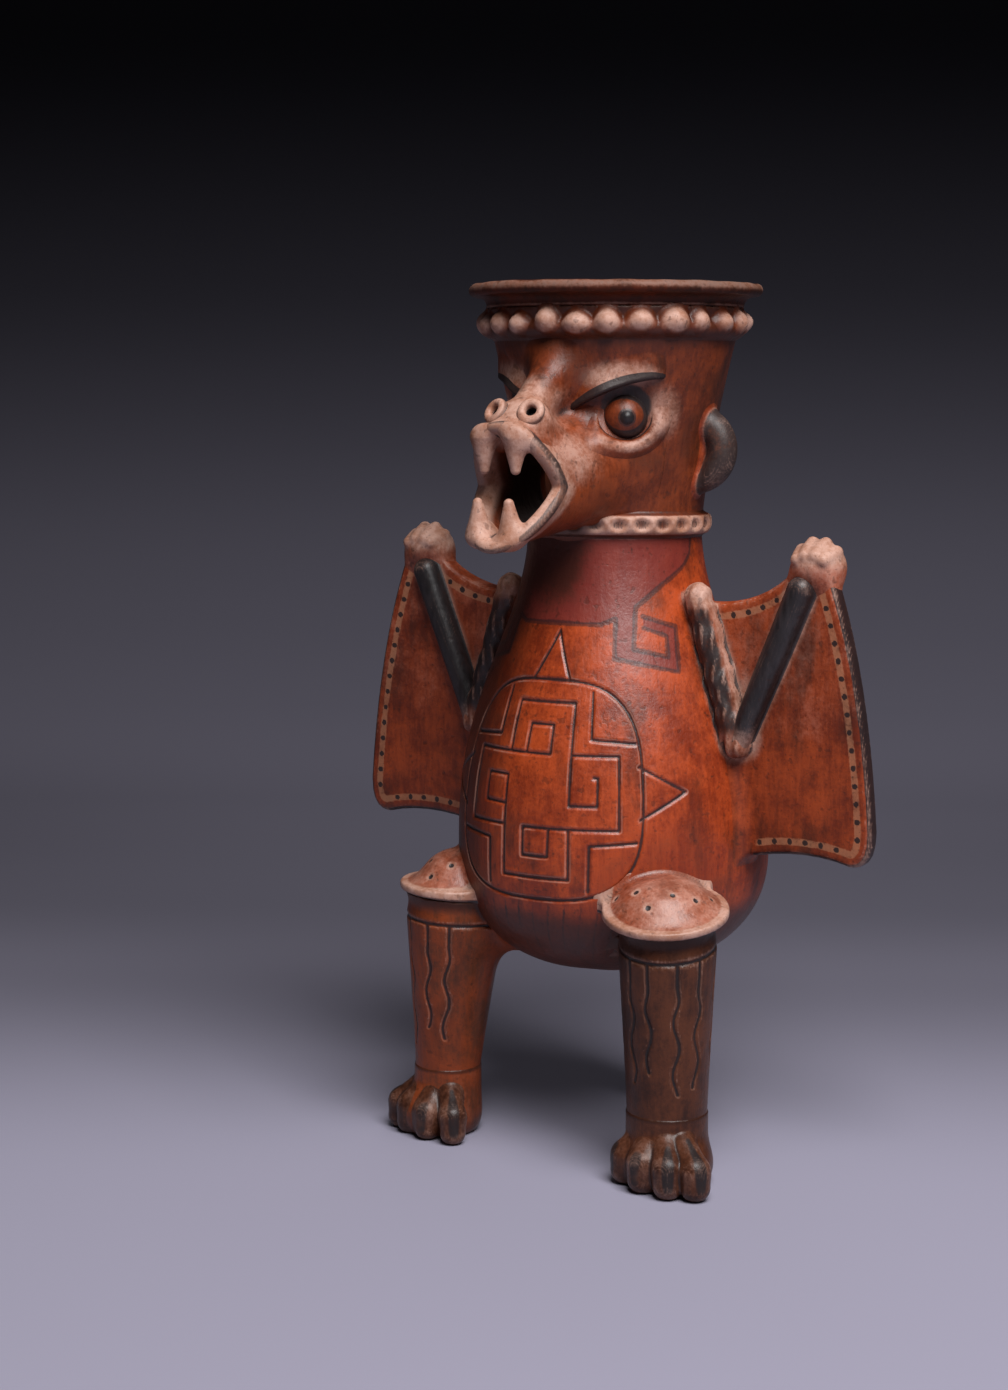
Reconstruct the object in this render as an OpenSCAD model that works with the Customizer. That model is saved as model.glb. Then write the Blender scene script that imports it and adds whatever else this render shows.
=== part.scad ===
// Bat-effigy tripod vessel: a coil-built, thin-walled clay body and head,
// with coils, wings, face and hollow legs luted on before firing.
// The bat looks along -Y, its left side is +X, and the floor is at Z = 0.

/* [Body] */
// Widest radius of the belly
belly_r = 63.5; // [56:0.5:72]
// Height of the belly's widest part above the floor
belly_z = 118; // [112:1:126]
// Height of the belly's underside above the floor
base_z = 70; // [62:1:78]
// Fullness of the lower belly, where 2 is an ellipse
belly_full = 2.3; // [2:0.1:2.8]
// Radius of the neck at the joint with the head
neck_r = 35; // [31:0.5:40]
// Height of the joint between neck and head
neck_z = 250; // [240:1:260]
// How long the belly stays full before it narrows to the neck
shoulder_full = 1.3; // [1.1:0.05:1.5]
// Thickness of the clay wall
wall = 6; // [4.5:0.5:7.5]

/* [Head and rim] */
// Height of the head wall from the neck joint to the rim joint
head_h = 88; // [80:1:96]
// Radius of the head wall where the rim sits
head_top_r = 51.6; // [48:0.2:55]
// Flare of the head wall, where 1 is a straight cone
head_flare = 1.33; // [1:0.05:1.7]
// Radius of the rim at the lip
lip_r = 59; // [56:0.2:64]
// Thickness of the lip
lip_t = 5; // [4:0.2:6]
// Height of the rim above the head wall
rim_h = 9.5; // [7:0.5:11]

/* [Beads and collar] */
// Number of pellets round the head
bead_count = 25; // [20:1:27]
// Radius of a pellet
bead_r = 4.8; // [4:0.1:5.2]
// Distance of the pellets below the rim joint
bead_drop = 6; // [5:0.5:10]
// Distance of a pellet's centre outside the head wall
bead_out = 0.4; // [-0.6:0.1:1.2]
// Half height of the strip under the pellets
strip_r = 3; // [2.4:0.1:3.6]
// Half height of the collar band
collar_r = 4.2; // [3.4:0.1:5]
// Height of the collar's middle above the neck joint
collar_up = 2.5; // [0:0.5:5]
// Number of thumb prints round the collar
print_count = 26; // [20:1:28]
// Radius of the ball that stands for the thumb
print_r = 4.2; // [3.6:0.1:4.6]
// Depth of a thumb print
print_depth = 1.6; // [1:0.1:2]

/* [Muzzle] */
// Height of the mouth's middle above the neck joint
mouth_up = 19; // [17:0.5:22]
// Half width of the lips
lips_w = 24; // [21:0.5:26]
// Half height of the lips
lips_h = 25.5; // [23:0.5:27]
// Thickness of the lips
lips_t = 6; // [5:0.5:7]
// Reach of the corners of the mouth in front of the neck
corner_reach = 32; // [28:0.5:36]
// Reach of the upper and lower lip in front of the neck
jaw_reach = 49; // [44:0.5:53]
// How far the lower lip stands in front of the upper lip
underbite = 3; // [0:0.5:4]
// Half width of the muzzle where it leaves the head
cheek_w = 29; // [26:0.5:32]
// Half height of the muzzle where it leaves the head
cheek_h = 21; // [19:0.5:23]
// Height of the muzzle's root above the mouth's middle
cheek_up = 8; // [5:0.5:10]
// Radius of the throat hole through the head wall
throat_r = 15; // [12:0.5:17]
// Length of an upper fang
upper_fang = 15; // [11:0.5:17]
// Length of a lower fang
lower_fang = 15.5; // [11:0.5:17]
// Radius of a fang at its root
fang_r = 4.2; // [3.6:0.1:5]
// How far the lower fangs stand in front of the upper ones
lower_fang_fore = 5; // [0:0.5:6]
// How far the lower fangs lie to the right of the upper ones
lower_fang_right = 2.5; // [0:0.5:3]
// Distance of a fang from the middle of the mouth
fang_x = 7.2; // [6:0.1:9]

/* [Nose and eyes] */
// Radius of a nostril ring
nostril_r = 5.4; // [4.4:0.1:6]
// Radius of a nostril's hole
nostril_hole_r = 2; // [1.6:0.1:2.6]
// Distance of a nostril from the middle
nostril_x = 6.6; // [6:0.1:8]
// Height of the eyes above the neck joint
eye_up = 45; // [42:0.5:48]
// Angle of the eyes from straight ahead
eye_az = 38; // [34:0.5:42]
// Radius of an eyeball
eye_r = 8.6; // [7:0.2:9.4]
// How far an eyeball stands out of the head
eye_out = 5; // [3.5:0.5:6]
// Radius of a pupil
pupil_r = 3; // [2.2:0.1:3.6]
// Thickest radius of a brow
brow_r = 4.2; // [3.2:0.1:5]
// Thickest radius of a lower eyelid
lid_r = 3.4; // [2.6:0.1:4]

/* [Ears] */
// Height of the ears above the neck joint
ear_up = 32; // [28:0.5:34]
// Angle of the ears from straight ahead
ear_az = 97; // [90:1:104]
// Radius of an ear at the middle of its rim
ear_r = 13; // [12:0.5:16]
// Radius of an ear's rim coil
ear_coil_r = 4.6; // [3:0.1:5]
// How far an ear's centre sits inside the head wall
ear_sink = 4; // [0:0.5:6]
// Thickness of the web inside an ear's rim
ear_web = 3.6; // [2.6:0.2:5]

/* [Wings] */
// Reach of the wing's outer edge beyond the belly
wing_out = 57; // [52:0.5:64]
// Reach of the wing's knob beyond the belly
knob_out = 29.5; // [25:0.5:34]
// Height of the knob below the neck joint
knob_drop = 12.5; // [8:0.5:18]
// Height of the wing's lower edge above the belly's widest part
wing_low = 5; // [0:0.5:12]
// Thickness of the wing at the body
wing_root_t = 11; // [9:0.5:13]
// Thickness of the wing at its outer edge
wing_edge_t = 7.5; // [6:0.5:9]
// Forward sweep of the wing's outer edge
wing_sweep = 4; // [0:0.5:8]
// Radius of the knob
knob_r = 10.6; // [9:0.2:12]
// Height of the shoulder below the neck joint
shoulder_drop = 25; // [21:0.5:29]
// Distance of the shoulder outside the neck
shoulder_out = 6; // [5:0.5:9]
// Height of the elbow below the neck joint
elbow_drop = 83; // [76:1:90]
// Distance of the elbow outside the belly wall
elbow_out = 4.5; // [3:0.5:7]
// Radius of the arm coils
arm_r = 5.2; // [4.4:0.1:6]
// How far the arm coils stand out of the wing
arm_proud = 9; // [7:0.5:10]

/* [Legs and knees] */
// Angle of the left leg from straight ahead
left_leg_az = 49; // [44:0.5:56]
// Angle of the right leg from straight ahead
right_leg_az = 53; // [44:0.5:56]
// Distance of the left leg's axis outside the belly
left_leg_out = 7.5; // [0:0.5:9]
// Distance of the right leg's axis outside the belly
right_leg_out = 3; // [0:0.5:9]
// Girth of the right leg as a share of the left leg's
right_girth = 0.9; // [0.8:0.02:1]
// Radius of a front leg under the knee
leg_top_r = 20.4; // [18:0.2:22]
// Radius of a front leg at the ankle
ankle_r = 16.4; // [14:0.2:18]
// Height of the ankle above the floor
ankle_z = 27.5; // [25:0.5:30]
// Thickness of the legs' walls
leg_wall = 5; // [4:0.5:6]
// Height of the knee below the belly's widest part
knee_drop = 13.5; // [10:0.5:18]
// Tilt of the knees
knee_tilt = 12; // [6:1:16]
// Angle from straight ahead, outwards, that the left knee tilts to
left_knee_az = 22; // [-100:1:60]
// Angle from straight ahead, outwards, that the right knee tilts to
right_knee_az = -90; // [-100:1:60]
// Radius of the knee's brim
brim_r = 24.4; // [23:0.2:27]
// Thickness of the knee's brim
brim_t = 3.4; // [2.6:0.2:4.4]
// Radius of the knee's dome
dome_r = 19.6; // [17:0.2:21]
// How far the knee's dome lies back towards the belly
dome_back = 3; // [0:0.5:4]
// Height of the knee's dome
dome_h = 18; // [14:0.5:20]
// Radius of the vent in the back of each hollow leg
vent_r = 2.5; // [2:0.25:3.5]

/* [Feet] */
// Width of a paw
paw_w = 41; // [38:0.5:44]
// Length of a paw from heel to toe
paw_l = 38; // [35:0.5:41]
// How far a paw's middle lies in front of the ankle
paw_fore = 4.5; // [3:0.5:6]
// Turn of the left foot outwards
left_toe_out = 16; // [0:1:30]
// Turn of the right foot outwards
right_toe_out = 14; // [0:1:30]
// Number of toes
toe_count = 4; // [3:1:5]
// Radius of a toe
toe_r = 5.6; // [4.6:0.1:6]
// Angle between neighbouring toes
toe_step = 27; // [25:1:30]

/* [Tail leg] */
// Distance of the tail leg's foot behind the axis
tail_y = 52; // [46:1:56]
// Backward slope of the tail leg
tail_tilt = 7; // [4:0.5:10]
// Radius of the tail leg at its thickest
tail_r = 16.5; // [14:0.5:18]
// Radius of the tail leg's sole
tail_sole_r = 9; // [7:0.5:11]

/* [Hidden] */
$fn = 120;
reach = 400;
curve_steps = 18;
lip_edge_from = -67.5;
rim_z = neck_z + head_h;
top_z = rim_z + rim_h;
mouth_z = neck_z + mouth_up;
eye_z = neck_z + eye_up;
ear_z = neck_z + ear_up;
bead_z = rim_z - bead_drop;
collar_z = neck_z + collar_up;
knob_z = neck_z - knob_drop;
shoulder_z = neck_z - shoulder_drop;
elbow_z = neck_z - elbow_drop;
wing_low_z = belly_z + wing_low;
knob_x = belly_r + knob_out;
wing_x = belly_r + wing_out;
knee_z = belly_z - knee_drop;
left_leg_at = leg_spot(left_leg_az, left_leg_out);
right_leg_at = leg_spot(right_leg_az, right_leg_out);
muzzle_sides = 32;
muzzle_steps = 6;
muzzle_waist = 2;
fang_tip_r = 1.4;
nose_r = 6;
nose_sides = 20;
nose_y = -neck_r - (corner_reach + jaw_reach) / 2 + nose_r;
nose_z = mouth_z + lips_h + nose_r / 2;
nostril_lift = 30;
nostril_turn = 18;
nostril_sink = 1;
brow_from = 8;
brow_to = 60;
brow_low = 4;
brow_high = 15;
lid_spread = 15;
coil_tip = 0.3;
coil_swell = 0.6;
coil_steps = 12;
lid_lift = 2;
pupil_out = 1;
lip_bow = 1.2;
lip_step = 30;
cheek_draw = 1.6;
calf_swell = 1.2;
leg_steps = 8;
brim_edge_to = 60;
dome_step = 10;
vent_reach = 40;
vent_az = 25;
wing_dip = 3;
wing_corner = 14;
wing_toe = 9;
wing_notch = 28;
wing_sag = 5;
wing_bow = 4;
stalk_share = 0.7;
arm_y = arm_r - arm_proud - wing_root_t / 2;
shoulder = [body_r(shoulder_z) + shoulder_out, arm_y, shoulder_z];
elbow = [body_r(elbow_z) + elbow_out, arm_y, elbow_z];
knob_at = [knob_x, 0, knob_z];
wrist_sink = 2;
wrist_slim = 0.2;
heel_h = 0.4;
ankle_turn = 150;
tail_z = -tail_sole_r * sin(tail_tilt);
tail_top_z = belly_z - base_z / 4;
paw_sides = 28;
knuckle_in = 0.84;
knuckle_up = 0.6;
knuckle_share = 0.9;
toe_flat = 0.8;
paw_steps = 7;

red_slip = "#b5471f";
orange_slip = "#c65a2a";
dark_slip = "#3a2a26";
buff_clay = "#c98f6b";
brown_slip = "#7a3f24";

// Outer radius of the body at height z between the belly and the neck
function body_r(z) = let (t = max(0, min(1, (z - belly_z) / (neck_z - belly_z))))
    neck_r + (belly_r - neck_r) * (1 + cos(180 * pow(t, shoulder_full))) / 2;

// Outer radius of the head wall at height z
function head_r(z) = let (t = max(0, min(1, (z - neck_z) / head_h)))
    neck_r + (head_top_r - neck_r) * pow(t, head_flare);

// A point on the head wall at an angle from straight ahead, moved outwards
function on_head(az, z, out) = [(head_r(z) + out) * sin(az), -(head_r(z) + out) * cos(az), z];

// Points of an arc round c
function arc(c, r, from, to, steps) =
    [for (i = [0:steps]) let (a = from + (to - from) * i / steps) c + r * [cos(a), sin(a)]];

// Points of a curve from a to b that bends towards the control point c
function bend(a, c, b, steps) =
    [for (i = [0:steps]) let (t = i / steps) (1 - t) * (1 - t) * a + 2 * t * (1 - t) * c + t * t * b];

function unit(v) = v / norm(v);
function reversed(list) = [for (i = [len(list) - 1:-1:0]) list[i]];

// Half section of the body, inset from its outside
function body_curve(inset) = concat(
    [for (i = [0:curve_steps]) let (a = 90 * i / curve_steps, n = 2 / belly_full)
        [(belly_r - inset) * pow(sin(a), n), belly_z - (belly_z - base_z - inset) * pow(cos(a), n)]],
    [for (i = [1:curve_steps]) let (z = belly_z + (neck_z - belly_z) * i / curve_steps)
        [body_r(z) - inset, z]]);

// Half section of the head wall, inset from its outside
function head_curve(inset) =
    [for (i = [0:curve_steps]) let (z = neck_z + head_h * i / curve_steps) [head_r(z) - inset, z]];

// Section of a half-round band on the head at height z, with its back inside the wall
function band_section(z, r) = let (back = head_r(z) - wall / 2)
    concat([[back, z - r]], arc([head_r(z), z], r, -90, 90, 8), [[back, z + r]]);

// Walls of a skin over rings of n points, where ring r joins ring r + 1
function skin_walls(rows, n, count) = [for (r = [0:rows - 1], i = [0:n - 1])
    let (a = r * n + i, b = r * n + (i + 1) % n, c = (a + n) % count, d = (b + n) % count)
        each [[a, c, d], [a, d, b]]];

// A closed skin over a row of rings, with a flat end at each side
module skin(rings) {
    n = len(rings[0]);
    count = len(rings) * n;
    polyhedron([for (ring = rings) each ring], concat(skin_walls(len(rings) - 1, n, count),
        [[for (i = [0:n - 1]) i]], [[for (i = [n - 1:-1:0]) count - n + i]]));
}

// A skin whose last ring joins the first, as on a tube that turns in on itself
module sleeve(rings) {
    n = len(rings[0]);
    polyhedron([for (ring = rings) each ring], skin_walls(len(rings), n, len(rings) * n));
}

// A coil along a path on the head, thickest at its middle
module head_coil(path, thick_r, sides = 12) {
    last = len(path) - 1;
    skin([for (i = [0:last])
        let (t = unit(path[min(i + 1, last)] - path[max(i - 1, 0)]), out = unit([path[i].x, path[i].y, 0]),
            side = unit(cross(t, out)), up = cross(side, t),
            r = thick_r * (coil_tip + (1 - coil_tip) * pow(sin(180 * i / last), coil_swell)))
        [for (k = [0:sides - 1]) let (a = 360 * k / sides) path[i] + r * (cos(a) * up + sin(a) * side)]]);
}

// A round bar from a to b with rounded ends
module bar(a, b, ra, rb) {
    d = b - a;
    translate(a) rotate([0, acos(d.z / norm(d)), atan2(d.y, d.x)]) rotate_extrude()
        polygon(concat(arc([0, 0], ra, -90, 0, 4), arc([0, norm(d)], rb, 0, 90, 4)));
}

// The other side of the bat
module other_side() {
    mirror([1, 0, 0]) children();
}

// The space below the floor
module underfloor() {
    translate([-reach, -reach, -reach]) cube([2 * reach, 2 * reach, reach]);
}

// The body as if it were solid
module body_mass() {
    rotate_extrude() polygon(concat(body_curve(0), [[0, neck_z]]));
}

// The head as if it were solid
module head_mass() {
    rotate_extrude() polygon(concat([[0, neck_z]], head_curve(0), [[0, rim_z]]));
}

module body() {
    color(red_slip) rotate_extrude() polygon(concat(body_curve(0), reversed(body_curve(wall))));
}

module head() {
    color(red_slip) difference() {
        rotate_extrude() polygon(concat(head_curve(0), reversed(head_curve(wall))));
        translate([0, 0, mouth_z]) rotate([90, 0, 0]) cylinder(h = reach, r = throat_r);
    }
}

// Rim: a flared lip with a rounded edge on top of the head wall
module rim_lip() {
    lip_in = lip_r - lip_t / 2;
    inside = head_top_r - wall;
    under = bend([head_top_r, rim_z], [head_top_r, top_z - lip_t], [lip_in, top_z - lip_t], 6);
    edge = arc([lip_in, top_z - lip_t / 2], lip_t / 2, lip_edge_from, 90, 7);
    mouth = bend([lip_in - lip_t / 2, top_z], [inside, top_z], [inside, rim_z], 6);
    color(brown_slip) rotate_extrude() polygon(concat(under, edge, mouth));
}

// Strip of clay that the pellets are pressed on
module bead_strip_mass() {
    strip_z = bead_z - strip_r;
    rotate_extrude() polygon(band_section(strip_z, strip_r));
}

module bead_strip() {
    color(red_slip) difference() {
        bead_strip_mass();
        head_mass();
    }
}

module rim_beads() {
    color(buff_clay) difference() {
        for (i = [0:bead_count - 1]) rotate([0, 0, 360 * i / bead_count])
            translate([0, -head_r(bead_z) - bead_out, bead_z]) sphere(bead_r);
        head_mass();
        bead_strip_mass();
    }
}

// Collar band as a smooth ring
module collar_mass() {
    rotate_extrude() polygon(band_section(collar_z, collar_r));
}

module collar_band() {
    print_at = head_r(collar_z) + collar_r + print_r - print_depth;
    color(buff_clay) difference() {
        collar_mass();
        body_mass();
        head_mass();
        for (i = [0:print_count - 1]) rotate([0, 0, 360 * (i + 0.5) / print_count])
            translate([0, -print_at, collar_z]) sphere(print_r);
    }
}

// How far forward the lips stand at angle a round the mouth, 0 at the left corner
function lips_y(a) = let (reach_out = jaw_reach + (sin(a) < 0 ? underbite : 0) - corner_reach)
    -neck_r - corner_reach - reach_out * pow(abs(sin(a)), lip_bow);

// One ring of the muzzle, from its root at s = 0 to the lips at s = 1
function muzzle_ring(s, w, h, up, fore = 0) = [for (i = [0:muzzle_sides - 1])
    let (a = 360 * i / muzzle_sides, root_y = 2 * wall - neck_r)
        [w * cos(a), root_y + (lips_y(a) + lips_t / 2 - root_y) * s - fore, mouth_z + up + h * sin(a)]];

// Outside of the muzzle: the cheeks draw in and flare again to the lips
function muzzle_outside() = [for (s = [0:1 / muzzle_steps:1])
    let (k = pow(1 - s, cheek_draw), waist = muzzle_waist * sin(180 * s * s))
        muzzle_ring(s, lips_w + (cheek_w - lips_w) * k - waist,
            lips_h + (cheek_h - lips_h) * k - waist, cheek_up * k)];

// The lips' rounded edge, from the outside to the inside
function muzzle_edge() = [for (a = [lip_step:lip_step:180 - lip_step]) let (in = lips_t / 2 * (1 - cos(a)))
    muzzle_ring(1, lips_w - in, lips_h - in, 0, lips_t / 2 * sin(a))];

// Inside of the muzzle, from the lips back to the throat
function muzzle_inside() = [for (s = [1:-1 / muzzle_steps:0])
    muzzle_ring(s, throat_r + (lips_w - lips_t - throat_r) * s,
        throat_r + (lips_h - lips_t - throat_r) * s, 0)];

// The whole muzzle before it is cut to the head
module muzzle_mass() {
    sleeve(concat(muzzle_outside(), muzzle_edge(), muzzle_inside()));
}

module muzzle() {
    color(buff_clay) difference() {
        muzzle_mass();
        head_mass();
        collar_mass();
        body_mass();
    }
}

// A pair of fangs on a lip, where up is 1 on the lower lip and -1 on the upper lip
module fangs(up, length, fore, right) {
    root = lips_h - lips_t;
    fang_y = -neck_r - jaw_reach + fang_r + lips_t / 2 - fore;
    color(buff_clay) difference() {
        for (x = [-fang_x, fang_x]) translate([x - right, fang_y, mouth_z - up * root])
            bar([0, 0, up], [0, 0, up * (length - fang_tip_r)], fang_r, fang_tip_r);
        muzzle_mass();
    }
}

module upper_fangs() {
    fangs(-1, upper_fang, 0, 0);
}

module lower_fangs() {
    fangs(1, lower_fang, lower_fang_fore, lower_fang_right);
}

// Nose: a bridge from the forehead to a pad on the upper lip
module nose_mass() {
    hull() {
        translate(on_head(0, nose_z + nose_r, 0)) sphere(nose_r, $fn = nose_sides);
        for (x = [-nostril_x, nostril_x])
            translate([x, nose_y + nose_r / 2, nose_z - nose_r / 2]) sphere(nose_r, $fn = nose_sides);
    }
}

module nose() {
    color(buff_clay) difference() {
        nose_mass();
        head_mass();
        muzzle_mass();
        nostril_hole();
        other_side() nostril_hole();
    }
}

// Where the left nostril sits, facing forwards and up
module nostril_place() {
    translate([nostril_x, nose_y + nose_r / 2, nose_z - nose_r / 2])
        rotate([90 - nostril_lift, 0, nostril_turn]) translate([0, 0, nose_r - nostril_sink]) children();
}

// The hole pricked in the nose through the left nostril
module nostril_hole() {
    nostril_place() cylinder(h = nose_r, r = nostril_hole_r, center = true);
}

// Nostril: a ring of clay pressed on the nose
module nostril() {
    tube_r = (nostril_r - nostril_hole_r) / 2;
    color(buff_clay) difference() {
        nostril_place() rotate_extrude() polygon(concat(arc([nostril_r - tube_r, 0], tube_r, 0, 180, 10),
            [[nostril_hole_r, -nose_r / 2], [nostril_r, -nose_r / 2]]));
        nose_mass();
    }
}

module left_nostril() {
    nostril();
}

module right_nostril() {
    other_side() nostril();
}

// Eyeball as a whole ball, half sunk in the head
module eye_mass() {
    translate(on_head(eye_az, eye_z, eye_out - eye_r)) sphere(eye_r);
}

module eye() {
    color(red_slip) difference() {
        eye_mass();
        head_mass();
    }
}

module left_eye() {
    eye();
}

module right_eye() {
    other_side() eye();
}

// Pupil: a pellet pressed on the eyeball
module pupil() {
    color(dark_slip) difference() {
        translate(on_head(eye_az, eye_z, eye_out - pupil_r + pupil_out)) sphere(pupil_r);
        eye_mass();
    }
}

module left_pupil() {
    pupil();
}

module right_pupil() {
    other_side() pupil();
}

// Brow: a coil that rises over the eye and thins out at both ends
module brow() {
    path = [for (i = [0:coil_steps]) let (t = i / coil_steps)
        on_head(brow_from + (brow_to - brow_from) * t,
            eye_z + brow_low + (brow_high - brow_low) * sin(90 * t), 0)];
    color(dark_slip) difference() {
        head_coil(path, brow_r);
        head_mass();
        eye_mass();
    }
}

module left_brow() {
    brow();
}

module right_brow() {
    other_side() brow();
}

// Lower eyelid: a coil that hangs under the eye from corner to corner
module eyelid() {
    low = eye_r + lid_r / 2 + lid_lift;
    path = [for (i = [0:coil_steps]) let (a = 180 + 180 * i / coil_steps)
        on_head(eye_az + lid_spread * cos(a), eye_z + lid_lift + low * sin(a), 0)];
    color(red_slip) difference() {
        head_coil(path, lid_r);
        head_mass();
        eye_mass();
        muzzle_mass();
    }
}

module left_eyelid() {
    eyelid();
}

module right_eyelid() {
    other_side() eyelid();
}

// Ear: a round rim coil with a thin web, standing out of the side of the head
module ear() {
    color(dark_slip) difference() {
        translate(on_head(ear_az, ear_z, -ear_sink)) rotate([90, 0, ear_az - 90]) {
            rotate_extrude() translate([ear_r, 0]) circle(ear_coil_r);
            cylinder(h = ear_web, r = ear_r, center = true);
        }
        head_mass();
    }
}

module left_ear() {
    ear();
}

module right_ear() {
    other_side() ear();
}

// Outline of the wing, seen from the front, with its root inside the body
function wing_outline() =
    let (root_r = body_r(shoulder_z), dip_z = shoulder_z - wing_dip, stalk = stalk_share * knob_r,
        corner_z = wing_low_z + wing_corner, toe_x = wing_x - wing_toe)
    concat(
        [[belly_r - wall, wing_low_z], [root_r - wall, dip_z]],
        bend([root_r + wall, dip_z], [knob_x - 2 * knob_r, dip_z], [knob_x - stalk, knob_z], 8),
        bend([knob_x + stalk, knob_z], [wing_x - wing_bow, elbow_z + knob_out], [wing_x, corner_z], 8),
        bend([wing_x, corner_z], [wing_x, wing_low_z], [toe_x, wing_low_z], 4),
        bend([toe_x, wing_low_z], [wing_x - wing_notch, wing_low_z + wing_sag],
            [belly_r + wall, wing_low_z], 6));

// Wing: a slab that thins from the body to its outer edge
module wing_mass() {
    intersection() {
        rotate([90, 0, 0]) linear_extrude(height = reach, center = true) polygon(wing_outline());
        linear_extrude(height = reach) polygon([[0, -wing_root_t / 2], [belly_r, -wing_root_t / 2],
            [wing_x, -wing_edge_t / 2 - wing_sweep], [wing_x, wing_edge_t / 2 - wing_sweep],
            [belly_r, wing_root_t / 2], [0, wing_root_t / 2]]);
    }
}

module wing() {
    color(orange_slip) difference() {
        wing_mass();
        body_mass();
    }
}

module left_wing() {
    wing();
}

module right_wing() {
    other_side() wing();
}

// Upper arm: a coil from the shoulder down to the elbow
module upper_arm_mass() {
    bar(shoulder, elbow, arm_r, arm_r);
}

module upper_arm() {
    color(dark_slip) difference() {
        upper_arm_mass();
        body_mass();
        wing_mass();
    }
}

module left_upper_arm() {
    upper_arm();
}

module right_upper_arm() {
    other_side() upper_arm();
}

// Forearm: a coil from the elbow up to the knob
module forearm_mass() {
    bar(elbow, knob_at + [0, arm_y + wrist_sink, 0], arm_r - wrist_slim, arm_r);
}

module forearm() {
    color(dark_slip) difference() {
        forearm_mass();
        body_mass();
        wing_mass();
        upper_arm_mass();
        translate(knob_at) sphere(knob_r);
    }
}

module left_forearm() {
    forearm();
}

module right_forearm() {
    other_side() forearm();
}

// Knob: the bat's clenched hand at the top of the wing
module knob() {
    color(buff_clay) difference() {
        translate(knob_at) sphere(knob_r);
        wing_mass();
    }
}

module left_knob() {
    knob();
}

module right_knob() {
    other_side() knob();
}

// Where a leg at an angle from straight ahead stands on the floor, on the bat's left
function leg_spot(az, out) = (belly_r + out) * [sin(az), -cos(az), 0];

// Where a knee sits that tilts towards the angle turn: the brim lies in its XY plane
module knee_place(at, turn) {
    translate(at + [0, 0, knee_z]) rotate([0, 0, turn]) rotate([knee_tilt, 0, 0]) children();
}

// Radius of a front leg at height z
function leg_r(z) = let (t = max(0, (z - ankle_z) / (knee_z - ankle_z)))
    ankle_r + (leg_top_r - ankle_r) * pow(t, calf_swell);

// Half section of a front leg of the given girth, inset from its outside
function leg_curve(girth, inset) = [for (i = [0:leg_steps])
    let (z = ankle_z + (knee_z + leg_top_r - ankle_z) * i / leg_steps) [girth * leg_r(z) - inset, z]];

// Leg: a hollow taper under the knee, vented at the back
module leg(girth, at, turn) {
    color(brown_slip) difference() {
        translate(at) rotate_extrude()
            polygon(concat(leg_curve(girth, 0), reversed(leg_curve(girth, leg_wall))));
        knee_place(at, turn) translate([-reach, -reach, 0]) cube(2 * reach);
        body_mass();
        translate(at + [0, 0, (ankle_z + base_z) / 2]) rotate([-90, 0, vent_az])
            cylinder(h = reach, r = vent_r);
    }
}

module left_leg() {
    leg(1, left_leg_at, left_knee_az);
}

module right_leg() {
    other_side() leg(right_girth, right_leg_at, right_knee_az);
}

// Kneecap: a dome on a thin round brim
module kneecap(girth, at, turn) {
    edge_r = brim_t / 2;
    brim = girth * brim_r - edge_r;
    dome = girth * dome_r;
    color(orange_slip) difference() {
        union() {
            knee_place(at, turn) rotate_extrude() polygon(concat([[0, 0]],
                arc([brim, edge_r], edge_r, -90, brim_edge_to, 5), [[dome, brim_t], [0, brim_t]]));
            translate(at - dome_back * unit(at) + [0, 0, knee_z])
                rotate_extrude() polygon(concat([[0, edge_r]],
                    [for (a = [0:dome_step:90]) [dome * cos(a), edge_r + (dome_h - edge_r) * sin(a)]]));
        }
        body_mass();
        knee_place(at, turn) translate([-reach, -reach, -2 * reach]) cube(2 * reach);
    }
}

module left_kneecap() {
    kneecap(1, left_leg_at, left_knee_az);
}

module right_kneecap() {
    other_side() kneecap(right_girth, right_leg_at, right_knee_az);
}

// Where a foot stands under its leg, turned outwards
module foot_place(at, turn) {
    translate(at) rotate([0, 0, turn]) children();
}

// One ring of a paw of the given girth at a share u of its height
function paw_ring(girth, u) =
    let (swell = u > heel_h ? pow(cos(ankle_turn * (u - heel_h)), 2) : 1 - pow(heel_h - u, 2) / 2,
        w = girth * (ankle_r + (paw_w / 2 - ankle_r) * swell),
        l = girth * (ankle_r + (paw_l / 2 - ankle_r) * swell))
    [for (i = [0:paw_sides - 1]) let (a = 360 * i / paw_sides)
        [w * cos(a), l * sin(a) - paw_fore * swell, u * ankle_z]];

// Paw without its toes
module paw(girth, at, turn) {
    color(brown_slip) foot_place(at, turn) skin([for (i = [0:paw_steps]) paw_ring(girth, i / paw_steps)]);
}

module left_paw() {
    paw(1, left_leg_at, left_toe_out);
}

module right_paw() {
    other_side() paw(right_girth, right_leg_at, right_toe_out);
}

// Toes: a fan of fat fingers that hang over the front of the paw
module toes(girth, at, turn) {
    r = girth * toe_r;
    color(dark_slip) difference() {
        foot_place(at, turn) for (i = [0:toe_count - 1]) let (a = toe_step * (i - (toe_count - 1) / 2),
                out = girth / 2 * [paw_w * sin(a), -paw_l * cos(a), 0], middle = [0, -paw_fore, 0])
            bar(middle + knuckle_in * out + [0, 0, knuckle_up * ankle_z],
                middle + out + [0, 0, r - toe_flat], knuckle_share * r, r);
        paw(girth, at, turn);
        underfloor();
    }
}

module left_toes() {
    toes(1, left_leg_at, left_toe_out);
}

module right_toes() {
    other_side() toes(right_girth, right_leg_at, right_toe_out);
}

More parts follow.
